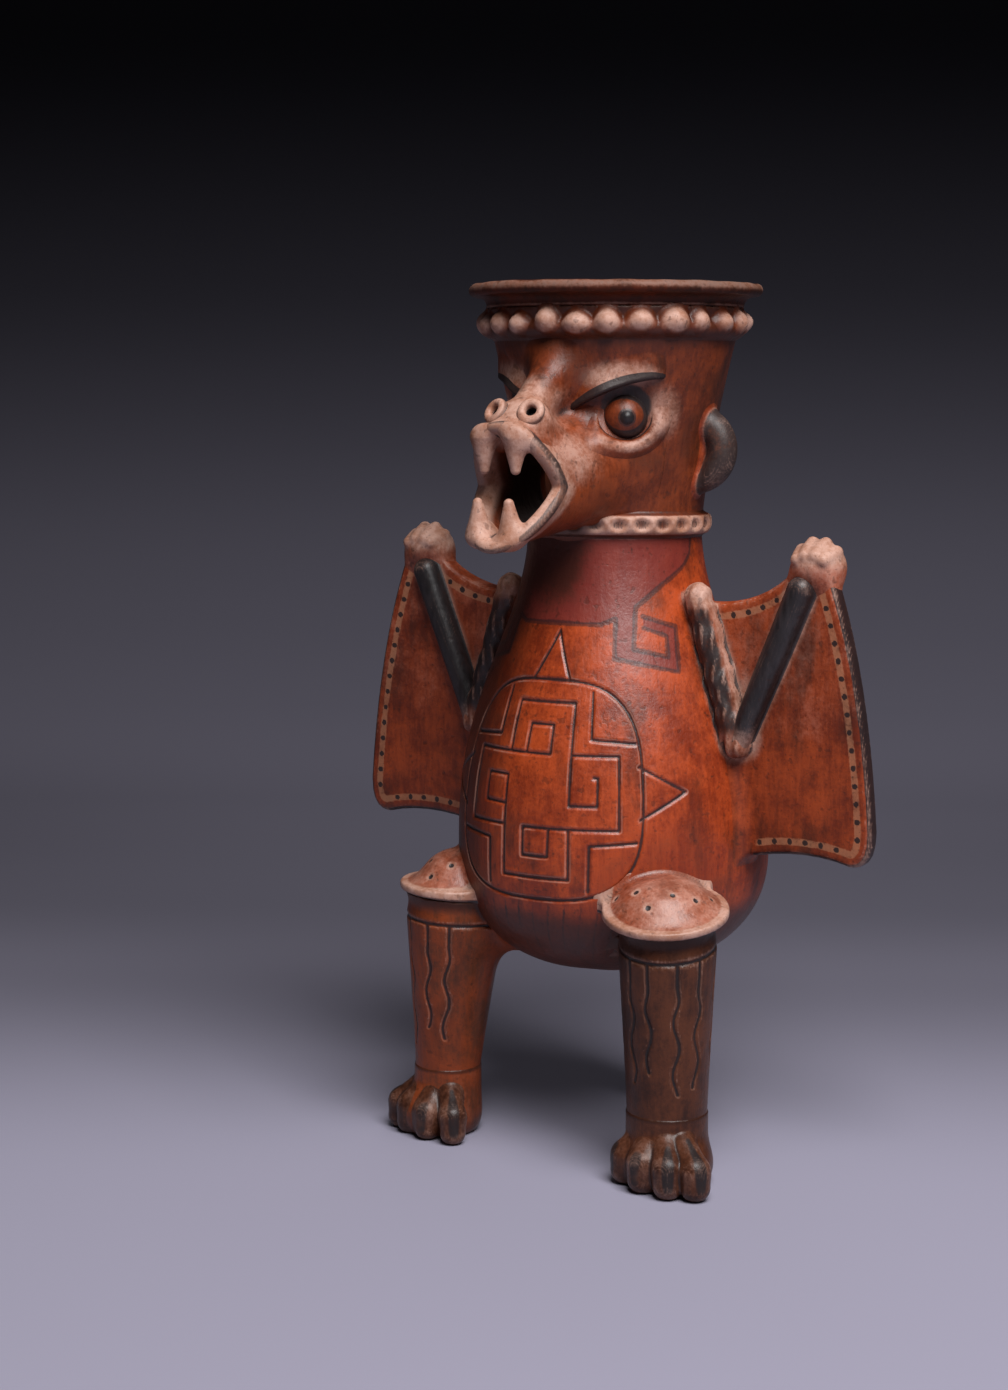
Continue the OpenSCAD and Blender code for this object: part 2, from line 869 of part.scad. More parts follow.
// Half section of the tail leg along its own axis, inset from its outside
function tail_curve(inset) = let (side = tail_r - inset) concat([[0, inset]],
    bend([tail_sole_r - inset / 2, inset], [side, inset], [side, base_z / 2], 8), [[side, tail_top_z]]);

// Tail leg: the hollow hind support, rounded at its foot and vented at the front
module tail_leg() {
    color(brown_slip) difference() {
        translate([0, tail_y, tail_z]) rotate([tail_tilt, 0, 0]) rotate_extrude()
            polygon(concat(tail_curve(0), reversed(tail_curve(leg_wall))));
        body_mass();
        underfloor();
        translate([0, tail_y, base_z / 2]) rotate([90, 0, 0]) cylinder(h = vent_reach, r = vent_r);
    }
}

body();
head();
rim_lip();
bead_strip();
rim_beads();
collar_band();
muzzle();
upper_fangs();
lower_fangs();
nose();
left_nostril();
right_nostril();
left_eye();
right_eye();
left_pupil();
right_pupil();
left_brow();
right_brow();
left_eyelid();
right_eyelid();
left_ear();
right_ear();
left_wing();
right_wing();
left_upper_arm();
right_upper_arm();
left_forearm();
right_forearm();
left_knob();
right_knob();
left_leg();
right_leg();
left_kneecap();
right_kneecap();
left_paw();
right_paw();
left_toes();
right_toes();
tail_leg();
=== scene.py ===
"""Looks of the bat-effigy tripod vessel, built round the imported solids."""

import math
from collections import namedtuple

import bpy
import numpy as np
import openvdb
from bpy.props import FloatProperty, FloatVectorProperty, PointerProperty
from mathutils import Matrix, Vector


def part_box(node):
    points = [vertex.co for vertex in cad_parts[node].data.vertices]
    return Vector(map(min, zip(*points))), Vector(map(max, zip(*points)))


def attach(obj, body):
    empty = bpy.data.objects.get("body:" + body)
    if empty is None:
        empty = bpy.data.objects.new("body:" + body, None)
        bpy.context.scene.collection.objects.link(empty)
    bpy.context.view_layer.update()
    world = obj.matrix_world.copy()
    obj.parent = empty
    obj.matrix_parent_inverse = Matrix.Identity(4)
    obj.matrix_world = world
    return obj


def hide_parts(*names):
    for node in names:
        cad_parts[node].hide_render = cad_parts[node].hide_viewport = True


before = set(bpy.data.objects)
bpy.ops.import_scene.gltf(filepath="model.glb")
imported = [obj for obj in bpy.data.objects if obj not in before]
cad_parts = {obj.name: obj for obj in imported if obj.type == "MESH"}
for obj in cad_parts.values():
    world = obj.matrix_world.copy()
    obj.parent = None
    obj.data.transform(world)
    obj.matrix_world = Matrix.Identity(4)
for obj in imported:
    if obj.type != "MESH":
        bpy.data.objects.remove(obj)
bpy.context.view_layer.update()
BODY_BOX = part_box("body")
HEAD_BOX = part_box("head")
RIM_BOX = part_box("rim_lip")

bl_info = {
    "name": "Bat-effigy tripod vessel",
    "version": (1, 0, 0),
    "blender": (4, 5, 0),
    "location": "View3D > Sidebar > Vessel",
    "description": "Sculpts and paints the clay pieces of a bat-shaped tripod vessel",
    "category": "Object",
}

MILLIMETRE = 0.001
COARSE = 1.0

# How deep a pressed-on piece goes into its carrier, and how far its thin edge stays under the carrier's skin
SINK, SKIN = 1.6, 0.25


def length_prop(label, default, words):
    return FloatProperty(name=label, description=words, default=default, unit="LENGTH", precision=4)


def colour_prop(label, default, words):
    return FloatVectorProperty(name=label, description=words, default=default, subtype="COLOR",
                               size=3, min=0.0, max=1.0)


class VesselSizes(bpy.types.PropertyGroup):
    """Sizes of the vessel and of the potter's marks on it"""
    belly_r: length_prop("Belly radius", BODY_BOX[1].x, "Widest radius of the belly")
    belly_z: length_prop("Belly height", 0.118, "Height of the widest part of the belly")
    base_z: length_prop("Underside", BODY_BOX[0].z, "Height of the underside of the belly")
    neck_r: length_prop("Neck radius", 0.035, "Radius of the neck at the joint with the head")
    neck_z: length_prop("Neck height", BODY_BOX[1].z, "Height of the joint of neck and head")
    rim_z: length_prop("Rim joint", HEAD_BOX[1].z, "Height of the joint of head and rim")
    head_top_r: length_prop("Head radius", HEAD_BOX[1].x, "Radius of the head under the rim")
    lip_r: length_prop("Lip radius", RIM_BOX[1].x, "Outer radius of the lip")
    lip_z: length_prop("Lip height", RIM_BOX[1].z, "Height of the top of the lip")
    wall: length_prop("Wall", 0.006, "Thickness of the clay wall")
    groove_w: length_prop("Groove width", 0.0017, "Width of the incised lines")
    groove_d: length_prop("Groove depth", 0.0007, "Depth of the incised lines")
    unevenness: length_prop("Unevenness", 0.0005, "How far the hand-built wall strays from round")
    voxel: length_prop("Grain of the forms", 0.00065, "Size of the cells that the forms are cut from")


class VesselPaint(bpy.types.PropertyGroup):
    """Colours of the slips, paints and bare clay"""
    red: colour_prop("Red slip", (0.45, 0.064, 0.012), "Burnished slip on the body")
    red_deep: colour_prop("Deep red slip", (0.2, 0.024, 0.006), "Thicker or smoked slip on the body")
    orange: colour_prop("Orange slip", (0.36, 0.058, 0.013), "Thin slip on the wings and knees")
    orange_deep: colour_prop("Deep orange slip", (0.15, 0.022, 0.007), "Shaded parts of the thin slip")
    rust: colour_prop("Rust slip", (0.25, 0.046, 0.011), "Slip on the head and the right leg")
    rust_deep: colour_prop("Deep rust slip", (0.1, 0.018, 0.006), "Smoked slip on the head")
    brown: colour_prop("Brown slip", (0.1, 0.03, 0.013), "Slip on the legs and rim")
    # Deep brown slip is also the colour that soot and painted shade darken towards.
    brown_deep: colour_prop("Deep brown slip", (0.035, 0.012, 0.007), "Smoked slip on the legs")
    buff: colour_prop("Buff clay", (0.54, 0.315, 0.245), "Bare and rubbed clay")
    buff_deep: colour_prop("Stained buff clay", (0.36, 0.16, 0.1), "Clay with remains of slip")
    # Black paint is also the colour of the painted shade in hollows, holes, the mouth and the eye sockets.
    black: colour_prop("Black paint", (0.016, 0.013, 0.014), "Organic paint on arms, brows and lines")
    maroon: colour_prop("Maroon paint", (0.17, 0.025, 0.02), "Bib round the neck")
    cream: colour_prop("Cream paint", (0.47, 0.21, 0.11), "Border band of the wings")
    floor: colour_prop("Floor", (0.318, 0.3, 0.385), "Paper that the vessel stands on")


def smooth_step(low, high, x):
    t = np.clip((x - low) / (high - low), 0.0, 1.0)
    return t * t * (3.0 - 2.0 * t)


def blend(a, b, k):
    """Smooth union of two distances, with a fillet of about k."""
    h = np.clip(0.5 + 0.5 * (b - a) / k, 0.0, 1.0)
    return b + (a - b) * h - k * h * (1.0 - h)


def carve(a, b, k):
    """Distance a without what lies inside b, with an edge rounded by k."""
    return -blend(-a, b, k)


def overlap(a, b, k):
    """Smooth intersection of two distances."""
    return -blend(-a, -b, k)


def length(v):
    return np.sqrt((v * v).sum(-1))


def bar(p, a, b, ra, rb=None):
    """Distance to a round bar from a to b."""
    a, b = np.asarray(a, float), np.asarray(b, float)
    d = b - a
    t = np.clip(((p - a) @ d) / (d @ d), 0.0, 1.0)
    return length(p - a - t[..., None] * d) - (ra + ((ra if rb is None else rb) - ra) * t)


def ball(p, centre, radii):
    """Distance to a ball, or to a ball squeezed to three radii."""
    radii = np.broadcast_to(np.asarray(radii, float), 3)
    q = (p - np.asarray(centre, float)) / radii
    k = length(q)
    return k * (k - 1.0) / np.maximum(length(q / radii), 1e-6)


def oval(u, v, w, h):
    """Distance to an ellipse in the plane."""
    k = np.hypot(u / w, v / h)
    return k * (k - 1.0) / np.maximum(np.hypot(u / (w * w), v / (h * h)), 1e-6)


def to_lines(u, v, lines):
    """Distance in the plane to the nearest of several open lines."""
    nearest = np.full(np.shape(u), 1e9)
    for line in lines:
        for (ax, ay), (bx, by) in zip(line[:-1], line[1:]):
            dx, dy = bx - ax, by - ay
            t = np.clip(((u - ax) * dx + (v - ay) * dy) / (dx * dx + dy * dy + 1e-12), 0.0, 1.0)
            nearest = np.minimum(nearest, np.hypot(u - ax - t * dx, v - ay - t * dy))
    return nearest


def inside(u, v, outline):
    """Whether points of the plane lie inside an outline."""
    hit = np.zeros(np.shape(u), bool)
    for (ax, ay), (bx, by) in zip(outline, outline[1:] + outline[:1]):
        crosses = (ay > v) != (by > v)
        hit ^= crosses & (u < (bx - ax) * (v - ay) / (by - ay + 1e-12) + ax)
    return hit


def bend(a, c, b, steps):
    """Points of a curve from a to b that bends towards c."""
    a, c, b = (np.asarray(x, float) for x in (a, c, b))
    ts = np.linspace(0.0, 1.0, steps + 1)
    return [tuple((1 - t) ** 2 * a + 2 * t * (1 - t) * c + t * t * b) for t in ts]


def turn_x(angle):
    c, s = math.cos(angle), math.sin(angle)
    return np.array([[1, 0, 0], [0, c, -s], [0, s, c]])


def turn_z(angle):
    c, s = math.cos(angle), math.sin(angle)
    return np.array([[c, -s, 0], [s, c, 0], [0, 0, 1]])


def from_axis(p):
    """Distance of points from the upright axis."""
    return np.hypot(p[..., 0], p[..., 1])


def on_left(p):
    """Points with those of the bat's right side turned over to its left."""
    q = p.copy()
    q[..., 0] = np.abs(q[..., 0])
    return q


def heading(p):
    """Angle of points from straight ahead, towards the bat's left, in degrees."""
    return np.degrees(np.arctan2(p[..., 0], -p[..., 1]))


# A leg's place, girth and sway, its knee's shift, turn, tilt, drop and dome, its toes by angle and reach,
# and the angles of its wavy lines, as if it stood on the bat's left
Leg = namedtuple("Leg", "az out girth top ankle sway knee knee_az tilt drop dome toes waves")
LEGS = {
    "left": Leg(az=49.0, out=7.5, girth=1.0, top=0.97, ankle=0.95, sway=((0.5, 0.3), (0.8, 0.5)),
                knee=(0.0, 0.0), knee_az=22.0, tilt=12.0, drop=0.0, dome=13.5,
                toes=((-43, 16.5), (0, 18), (32, 22.5), (55, 26.5)),
                waves=(-20, 6, 43, 73, 110, 150, 190, 230, 265, 303)),
    "right": Leg(az=53.0, out=3.0, girth=0.9, top=1.08, ankle=0.82, sway=((-4.0, -1.0), (1.4, -0.8)),
                 knee=(-2.5, -2.0), knee_az=-90.0, tilt=3.0, drop=2.5, dome=16.0,
                 toes=((-41, 21.5), (-5, 16.5), (38, 16.5), (64, 20)),
                 waves=(-28, 0, 34, 70, 110, 150, 190, 230)),
}


class Form:
    """The vessel's shared curves and seats, in millimetres."""

    belly_full, shoulder_full, head_flare = 2.3, 1.3, 1.33
    cell = 0.5
    mouth_up, lips_w, lips_h, lips_t, corner_t = 19.0, 20.6, 25.5, 7.4, 8.8
    corner_reach, jaw_reach, underbite = 34.0, 49.0, 5.5
    cheek_w, cheek_h, cheek_up, throat_r = 29.0, 21.0, 8.0, 15.0
    upper_fang, lower_fang, fang_r, fang_x = 15.0, 15.5, 4.2, 7.2
    fang_root, lower_fang_fore, lower_fang_right, upper_fang_right = 19.5, 5.0, 2.5, 1.8
    nose_r, nostril_x, nostril_r, nostril_hole_r = 6.0, 6.6, 5.4, 2.0
    eye_up, eye_az, eye_r, eye_out, pupil_r = 45.0, 38.0, 8.6, 5.0, 3.0
    ear_up, ear_az, ear_r, ear_coil_r, ear_sink = 32.0, 97.0, 13.0, 4.6, 4.0
    wing_out, knob_out, knob_drop, wing_low = 57.0, 29.5, 12.5, 5.0
    wing_root_t, wing_edge_t, wing_sweep, knob_r = 11.0, 7.5, 4.0, 10.6
    shoulder_drop, shoulder_out, elbow_drop, elbow_out = 25.0, 6.0, 83.0, 4.5
    arm_r, arm_proud = 5.2, 9.0
    leg_top_r, ankle_r, ankle_z, knee_drop = 20.4, 16.4, 27.5, 13.5
    brim_r, brim_t, dome_r, dome_back = 24.4, 3.4, 19.6, 3.0
    paw_r, paw_fore, toe_r = 17.5, 4.0, 6.0
    tail_y, tail_tilt, tail_r, tail_sole_r = 52.0, 7.0, 16.5, 9.0

    def __init__(self, sizes):
        for key in ("belly_r", "belly_z", "base_z", "neck_r", "neck_z", "rim_z", "head_top_r", "lip_r",
                    "lip_z", "wall", "groove_w", "groove_d", "unevenness", "voxel"):
            setattr(self, key, getattr(sizes, key) / MILLIMETRE)
        self.voxel *= COARSE
        self.mouth_z = self.neck_z + self.mouth_up
        self.eye_z = self.neck_z + self.eye_up
        self.nose_y = -self.neck_r - (self.corner_reach + self.jaw_reach) / 2 + self.nose_r
        self.nose_z = self.mouth_z + self.lips_h + self.nose_r / 2
        self.wing_x = self.belly_r + self.wing_out
        self.wing_z = self.belly_z + self.wing_low
        shoulder_z, elbow_z = self.neck_z - self.shoulder_drop, self.neck_z - self.elbow_drop
        arm_y = self.arm_r - self.arm_proud - self.wing_root_t / 2
        self.shoulder = np.array([self.body_r(shoulder_z) + self.shoulder_out, arm_y, shoulder_z])
        self.elbow = np.array([self.body_r(elbow_z) + self.elbow_out, arm_y, elbow_z])
        self.knob = np.array([self.belly_r + self.knob_out, 0.0, self.neck_z - self.knob_drop])
        self.wrist = self.knob + [0.0, arm_y + 2.0, 0.0]
        self.knee_z = self.belly_z - self.knee_drop
        self.tabulate()

    def body_r(self, z):
        z = np.asarray(z, float)
        t = np.clip((z - self.belly_z) / (self.neck_z - self.belly_z), 0.0, 1.0)
        swell = (1 + np.cos(np.pi * t ** self.shoulder_full)) / 2
        upper = self.neck_r + (self.belly_r - self.neck_r) * swell
        s = np.clip((self.belly_z - z) / (self.belly_z - self.base_z), 0.0, 1.0)
        lower = self.belly_r * (1 - s ** self.belly_full) ** (1 / self.belly_full)
        return np.where(z > self.belly_z, upper, lower)

    def head_r(self, z):
        t = np.clip((np.asarray(z, float) - self.neck_z) / (self.rim_z - self.neck_z), 0.0, 1.15)
        return self.neck_r + (self.head_top_r - self.neck_r) * t ** self.head_flare

    def wall_r(self, z):
        return np.where(np.asarray(z) > self.neck_z, self.head_r(z), self.body_r(z))

    def body_curve(self, low_steps, high_steps, inset=0.0):
        """Half section of the body, from the middle of its underside up to the neck."""
        a = np.radians(np.linspace(0.0, 90.0, low_steps + 1))
        n = 2.0 / self.belly_full
        low = np.stack([(self.belly_r - inset) * np.sin(a) ** n,
                        self.belly_z - (self.belly_z - self.base_z - inset) * np.cos(a) ** n], -1)
        z = np.linspace(self.belly_z, self.neck_z, high_steps + 1)[1:]
        return np.concatenate([low, np.stack([self.body_r(z) - inset, z], -1)])

    def tabulate(self):
        """Distances to the round wall of body and head, kept in a table of radius and height."""
        top = np.linspace(self.neck_z, self.lip_z + 10.0, 60)[1:]
        line = np.concatenate([self.body_curve(60, 80), np.stack([self.head_r(top), top], -1)])
        self.low_z = self.base_z - 40.0
        rho, z = np.meshgrid(np.arange(0.0, 125.0, self.cell),
                             np.arange(self.low_z, self.lip_z + 10.0, self.cell), indexing="ij")
        away = to_lines(rho, z, [line.tolist()])
        self.table = np.where((rho < self.wall_r(z)) & (z > self.base_z), -away, away)

    def stray(self, p):
        """How far the hand-built wall strays from round."""
        az, z = np.radians(heading(p)), p[..., 2]
        return self.unevenness * (0.6 * np.sin(2 * az + 0.6 + z / 77) + 0.5 * np.sin(3 * az - 1.2 - z / 48)
                                  + 0.25 * np.sin(7 * az + z / 20))

    def wall_field(self, p):
        """Distance to the outside of body and head."""
        last = np.array(self.table.shape) - 2.001
        i = np.clip((from_axis(p) - self.stray(p)) / self.cell, 0.0, last[0])
        j = np.clip((p[..., 2] - self.low_z) / self.cell, 0.0, last[1])
        i0, j0 = i.astype(int), j.astype(int)
        fi, fj = i - i0, j - j0
        t = self.table
        return ((1 - fi) * ((1 - fj) * t[i0, j0] + fj * t[i0, j0 + 1])
                + fi * ((1 - fj) * t[i0 + 1, j0] + fj * t[i0 + 1, j0 + 1]))

    def on_head(self, az, z, out=0.0):
        a, r = math.radians(az), float(self.head_r(z)) + out
        return np.array([r * math.sin(a), -r * math.cos(a), z])

    def face_field(self, p):
        """Distance to the outside of body and head, with the hollows round the eyes."""
        hollow = ball(on_left(p), self.on_head(self.eye_az + 1, self.eye_z + 1.5, 24.0), 27.0)
        return carve(self.wall_field(p), hollow, 4.0)

    def lips_y(self, a):
        reach = self.jaw_reach + self.underbite * (np.sin(a) < 0) - self.corner_reach
        return -self.neck_r - self.corner_reach - reach * np.abs(np.sin(a)) ** 1.2

    def muzzle_fields(self, p):
        """Distances to the outside and the inside of the muzzle, and to the plane of its lips."""
        x, y, z = p[..., 0], p[..., 1], p[..., 2] - self.mouth_z
        a = np.arctan2(z / self.lips_h, x / self.lips_w)
        root_y = 12.0 - self.neck_r
        s = np.clip((y - root_y) / (self.lips_y(a) - root_y), -0.1, 1.1)
        k = np.clip(1 - s, 0.0, 1.1) ** 1.6
        waist = 2.0 * np.sin(np.pi * np.clip(s, 0, 1) ** 2)
        outer = oval(x, z - self.cheek_up * k, self.lips_w + (self.cheek_w - self.lips_w) * k - waist,
                     self.lips_h + (self.cheek_h - self.lips_h) * k - waist)
        flare = 2.2 * smooth_step(0.78, 1.0, s)
        inner = oval(x, z, self.throat_r + (self.lips_w - self.corner_t - self.throat_r) * s + flare,
                     self.throat_r + (self.lips_h - self.lips_t - self.throat_r) * s + flare)
        return outer, inner, (self.lips_y(a) - y) * 0.8

    def muzzle_field(self, p):
        outer, inner, lips = self.muzzle_fields(p)
        shell = blend(outer, self.face_field(p) + 0.2, 9.0)
        return carve(overlap(shell, lips, 3.0), inner, 3.0)

    def face_paint(self, p):
        """Pale patches and darkening on the face, the same for every piece of it: bare clay with painted
        highlights, and soot with painted shade.
        """
        q = on_left(p)
        # Pale patches: bare clay round the nose and muzzle, painted highlights on the cheek and above the
        # brow.
        bare_and_highlight = ((np.array([0, self.nose_y, self.nose_z]), (20, 26, 17), 0.9),
                (np.array([20, -60, self.mouth_z + 13]), (13, 22, 15), 0.55),
                (self.on_head(17, self.eye_z - 11), (13, 20, 9), 0.6),
                (self.on_head(34, self.eye_z + 16), (20, 16, 7), 0.65),
                (self.on_head(60, self.eye_z + 2), (9, 9, 12), 0.55),
                (np.array([12, -56, self.nose_z + 3]), (12, 14, 10), 0.7))
        # Darker patches on the forehead, under the eye, on the head's side and beside the mouth.
        dark_patches = ((self.on_head(12, self.eye_z + 19), (9, 14, 12), 0.55),
                  (self.on_head(50, self.eye_z - 17), (13, 13, 7), 0.5),
                  (self.on_head(82, self.eye_z - 8), (9, 12, 18), 0.55),
                  (np.array([25, -46, self.mouth_z - 3]), (9, 12, 12), 0.45))
        buff = np.zeros(len(p))
        for centre, radii, strength in bare_and_highlight:
            buff = np.maximum(buff, strength * smooth_step(1.35, 0.35, length((q - centre) / radii)))
        az, z = np.abs(heading(p)), p[:, 2]
        # Painted shade on the head's sides and under the muzzle, soot and painted shade in a band under the
        # pellets, and a light soot wherever the clay isn't pale.
        soot_and_shade = np.maximum.reduce([0.5 * smooth_step(70, 130, az),
                                  0.75 * smooth_step(self.rim_z - 24, self.rim_z - 10, z),
                                  0.55 * smooth_step(self.mouth_z - 8, self.mouth_z - 20, z)])
        for centre, radii, strength in dark_patches:
            soot_and_shade = np.maximum(soot_and_shade, strength * smooth_step(1.3, 0.3, length((q - centre) / radii)))
        return buff, np.maximum(soot_and_shade, 0.26 * (1 - buff))

    def wing_line(self):
        """Outline of the left wing, seen from the front."""
        shoulder_z, wall = self.shoulder[2], self.wall
        root_r, dip_z = float(self.body_r(shoulder_z)), shoulder_z - 3.0
        knob_x, knob_z = self.knob[0], self.knob[2]
        stalk, low, corner_z, toe_x = 0.7 * self.knob_r, self.wing_z, self.wing_z + 14.0, self.wing_x - 9.0
        top = bend((root_r + wall, dip_z), (knob_x - 2 * self.knob_r, dip_z), (knob_x - stalk, knob_z), 8)
        outer = bend((knob_x + stalk, knob_z), (self.wing_x - 4.0, self.elbow[2] + self.knob_out),
                     (self.wing_x, corner_z), 10)
        corner = bend((self.wing_x, corner_z), (self.wing_x, low), (toe_x, low), 5)
        bottom = bend((toe_x, low), (self.wing_x - 28.0, low + 5.0), (self.belly_r + wall, low), 6)
        root = [(self.belly_r - wall, low), (root_r - wall, dip_z)]
        return {"top": top, "outer": outer + corner[1:], "bottom": bottom,
                "all": root + top + outer + corner + bottom}

    def wing_field(self, p):
        x, y, z = p[..., 0], p[..., 1], p[..., 2]
        line = self.wing_line()["all"]
        flat = to_lines(x, z, [line + line[:1]])
        flat = np.where(inside(x, z, line), -flat, flat)
        t = np.clip((x - self.belly_r) / self.wing_out, 0.0, 1.0)
        half = (self.wing_root_t + (self.wing_edge_t - self.wing_root_t) * t) / 2
        return overlap(flat, np.abs(y + self.wing_sweep * t) - half, 3.0)

    def upper_arm_field(self, p):
        return bar(p, self.shoulder, self.elbow, self.arm_r)

    def forearm_field(self, p):
        wrist = self.wrist + 0.12 * (self.elbow - self.wrist)
        return bar(p, self.elbow, wrist, self.arm_r - 0.7, self.arm_r + 0.3)

    def leg_r(self, z, leg):
        t = np.clip((z - self.ankle_z) / (self.knee_z - self.ankle_z), 0.0, 1.3)
        return leg.ankle * self.ankle_r + (leg.top * self.leg_top_r - leg.ankle * self.ankle_r) * t ** 1.1

    def leg_local(self, p, leg):
        """Points from the leg's axis, which sways a little from knee to ankle."""
        low = np.clip((self.knee_z - p[..., 2:]) / (self.knee_z - self.ankle_z), 0.0, 1.0)
        top, ankle = (np.array([*shift, 0.0]) for shift in leg.sway)
        return p - self.leg_at(leg) - top * (1 - low) - ankle * low

    def leg_at(self, leg):
        """Foot of a leg's axis, as if the leg stood on the bat's left."""
        r, az = self.belly_r + leg.out, math.radians(leg.az)
        return np.array([r * math.sin(az), -r * math.cos(az), 0.0])

    def knee_local(self, p, leg):
        """Points in the knee's own frame, whose brim lies in its XY plane."""
        turn = turn_z(math.radians(leg.knee_az)) @ turn_x(math.radians(leg.tilt))
        return (p - self.leg_at(leg) - [*leg.knee, self.knee_z - leg.drop]) @ turn


def luted(piece, carrier, fillet):
    """A piece of clay pressed on a carrier, with a smeared fillet round its foot."""
    joined = blend(piece, carrier + SKIN, fillet)
    return np.maximum.reduce([joined, -(carrier + SINK), piece - fillet])


def new_object(name, points, faces, side=1):
    """A mesh object from points in millimetres, mirrored for the bat's right side."""
    points = np.array(points, float)
    faces = np.asarray(faces)
    if side < 0:
        points = points * [-1, 1, 1]
        faces = faces[:, ::-1]
    mesh = bpy.data.meshes.new(name)
    count, corners = faces.shape
    mesh.vertices.add(len(points))
    mesh.vertices.foreach_set("co", (points * MILLIMETRE).astype(np.float32).ravel())
    mesh.loops.add(count * corners)
    mesh.loops.foreach_set("vertex_index", faces.astype(np.int32).ravel())
    mesh.polygons.add(count)
    mesh.polygons.foreach_set("loop_start", np.arange(0, count * corners, corners, dtype=np.int32))
    mesh.update(calc_edges=True)
    mesh.polygons.foreach_set("use_smooth", np.ones(count, bool))
    obj = bpy.data.objects.new(name, mesh)
    bpy.context.scene.collection.objects.link(obj)
    return obj


def crests(mesh, rounds=6, tight=3.0):
    """How sharply each point is curved, from -1 in a hollow to 1 on a crest as tight as a small ball."""
    count = len(mesh.vertices)
    points = np.empty(count * 3, np.float32)
    mesh.vertices.foreach_get("co", points)
    normals = np.empty(count * 3, np.float32)
    mesh.vertex_normals.foreach_get("vector", normals)
    points = points.reshape(-1, 3) / MILLIMETRE
    edges = np.empty(len(mesh.edges) * 2, np.int32)
    mesh.edges.foreach_get("vertices", edges)
    a, b = edges[0::2], edges[1::2]
    links = np.maximum(np.bincount(a, minlength=count) + np.bincount(b, minlength=count), 1)
    span = ((points[a] - points[b]) ** 2).sum(-1)
    span = (np.bincount(a, span, count) + np.bincount(b, span, count)) / links
    soft = points.astype(float)
    for _ in range(rounds):
        soft = np.stack([(np.bincount(a, soft[b, k], count) + np.bincount(b, soft[a, k], count)) / links
                         for k in range(3)], -1)
    sag = ((points - soft) * normals.reshape(-1, 3)).sum(-1)
    return np.clip(2.0 * tight * sag / (rounds * np.maximum(span, 0.01)), -1.0, 1.0)


def crests_off(mesh, gap, low=0.5, high=2.0):
    """Crests that fade where a piece ends on its carrier, so that the seam isn't rubbed pale."""
    return crests(mesh) * smooth_step(low, high, gap)


def finish_piece(obj, nodes, masks, material):
    """Stores the paint masks on a piece and seats it in the frame."""
    if "crest" not in masks:
        masks = {"crest": crests(obj.data), **masks}
    for name, values in masks.items():
        attribute = obj.data.attributes.new(name, "FLOAT", "POINT")
        attribute.data.foreach_set("value", np.asarray(values, np.float32))
    obj.data.materials.append(material)
    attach(obj, "root")
    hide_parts(*nodes)
    return obj


def sculpt(name, field, low, high, voxel, side=1):
    """A mesh of the skin of a form, given as a field of distances in a box, and the mesh's points."""
    low, high = np.asarray(low, float), np.asarray(high, float)
    counts = np.ceil((high - low) / voxel).astype(int) + 1
    axes = [low[k] + voxel * np.arange(counts[k]) for k in range(3)]
    grid = np.stack(np.meshgrid(*axes, indexing="ij"), -1)
    values = np.clip(field(grid), -3 * voxel, 3 * voxel).astype(np.float32)
    for k in range(3):
        edge = [slice(None)] * 3
        for end in (0, -1):
            edge[k] = end
            values[tuple(edge)] = np.maximum(values[tuple(edge)], voxel)
    volume = openvdb.FloatGrid(3.0 * voxel)
    volume.copyFromArray(np.ascontiguousarray(values))
    points, quads = volume.convertToQuads(0.0)
    if not len(quads):
        raise RuntimeError("the form of " + name + " is empty")
    points = low + voxel * np.asarray(points, float)
    return new_object(name, points, np.asarray(quads), side), points


def lathe(name, rings, columns):
    """A closed mesh of rings of points, one ring per row, joined to a tube that turns in on itself."""
    rows, count = len(rings), len(columns)
    points = np.concatenate(rings)
    r, c = np.meshgrid(np.arange(rows), np.arange(count), indexing="ij")
    nr, nc = (r + 1) % rows, (c + 1) % count
    quads = np.stack([r * count + c, r * count + nc, nr * count + nc, nr * count + c], -1).reshape(-1, 4)
    return new_object(name, points, quads), points


def ring_points(radius, z, columns, stray=0.0):
    a = np.radians(columns)
    r = np.broadcast_to(radius + stray, a.shape)
    return np.stack([r * np.sin(a), -r * np.cos(a), np.broadcast_to(z, a.shape)], -1)


class Socket:
    """A node's output, which adds Math nodes when it is used in an expression."""

    def __init__(self, tree, socket):
        self.tree, self.socket = tree, socket

    def math(self, operation, *values):
        return self.tree.node("ShaderNodeMath", {"operation": operation}, dict(enumerate(values)))

    def __add__(self, other):
        return self.math("ADD", self, other)

    def __sub__(self, other):
        return self.math("SUBTRACT", self, other)

    def __rsub__(self, other):
        return self.math("SUBTRACT", other, self)

    def __mul__(self, other):
        return self.math("MULTIPLY", self, other)

    __radd__ = __add__
    __rmul__ = __mul__

    def step(self, low, high):
        """A smooth step from 0 at low to 1 at high."""
        return self.tree.node("ShaderNodeMapRange", {"interpolation_type": "SMOOTHSTEP"},
                              {"Value": self, "From Min": low, "From Max": high})


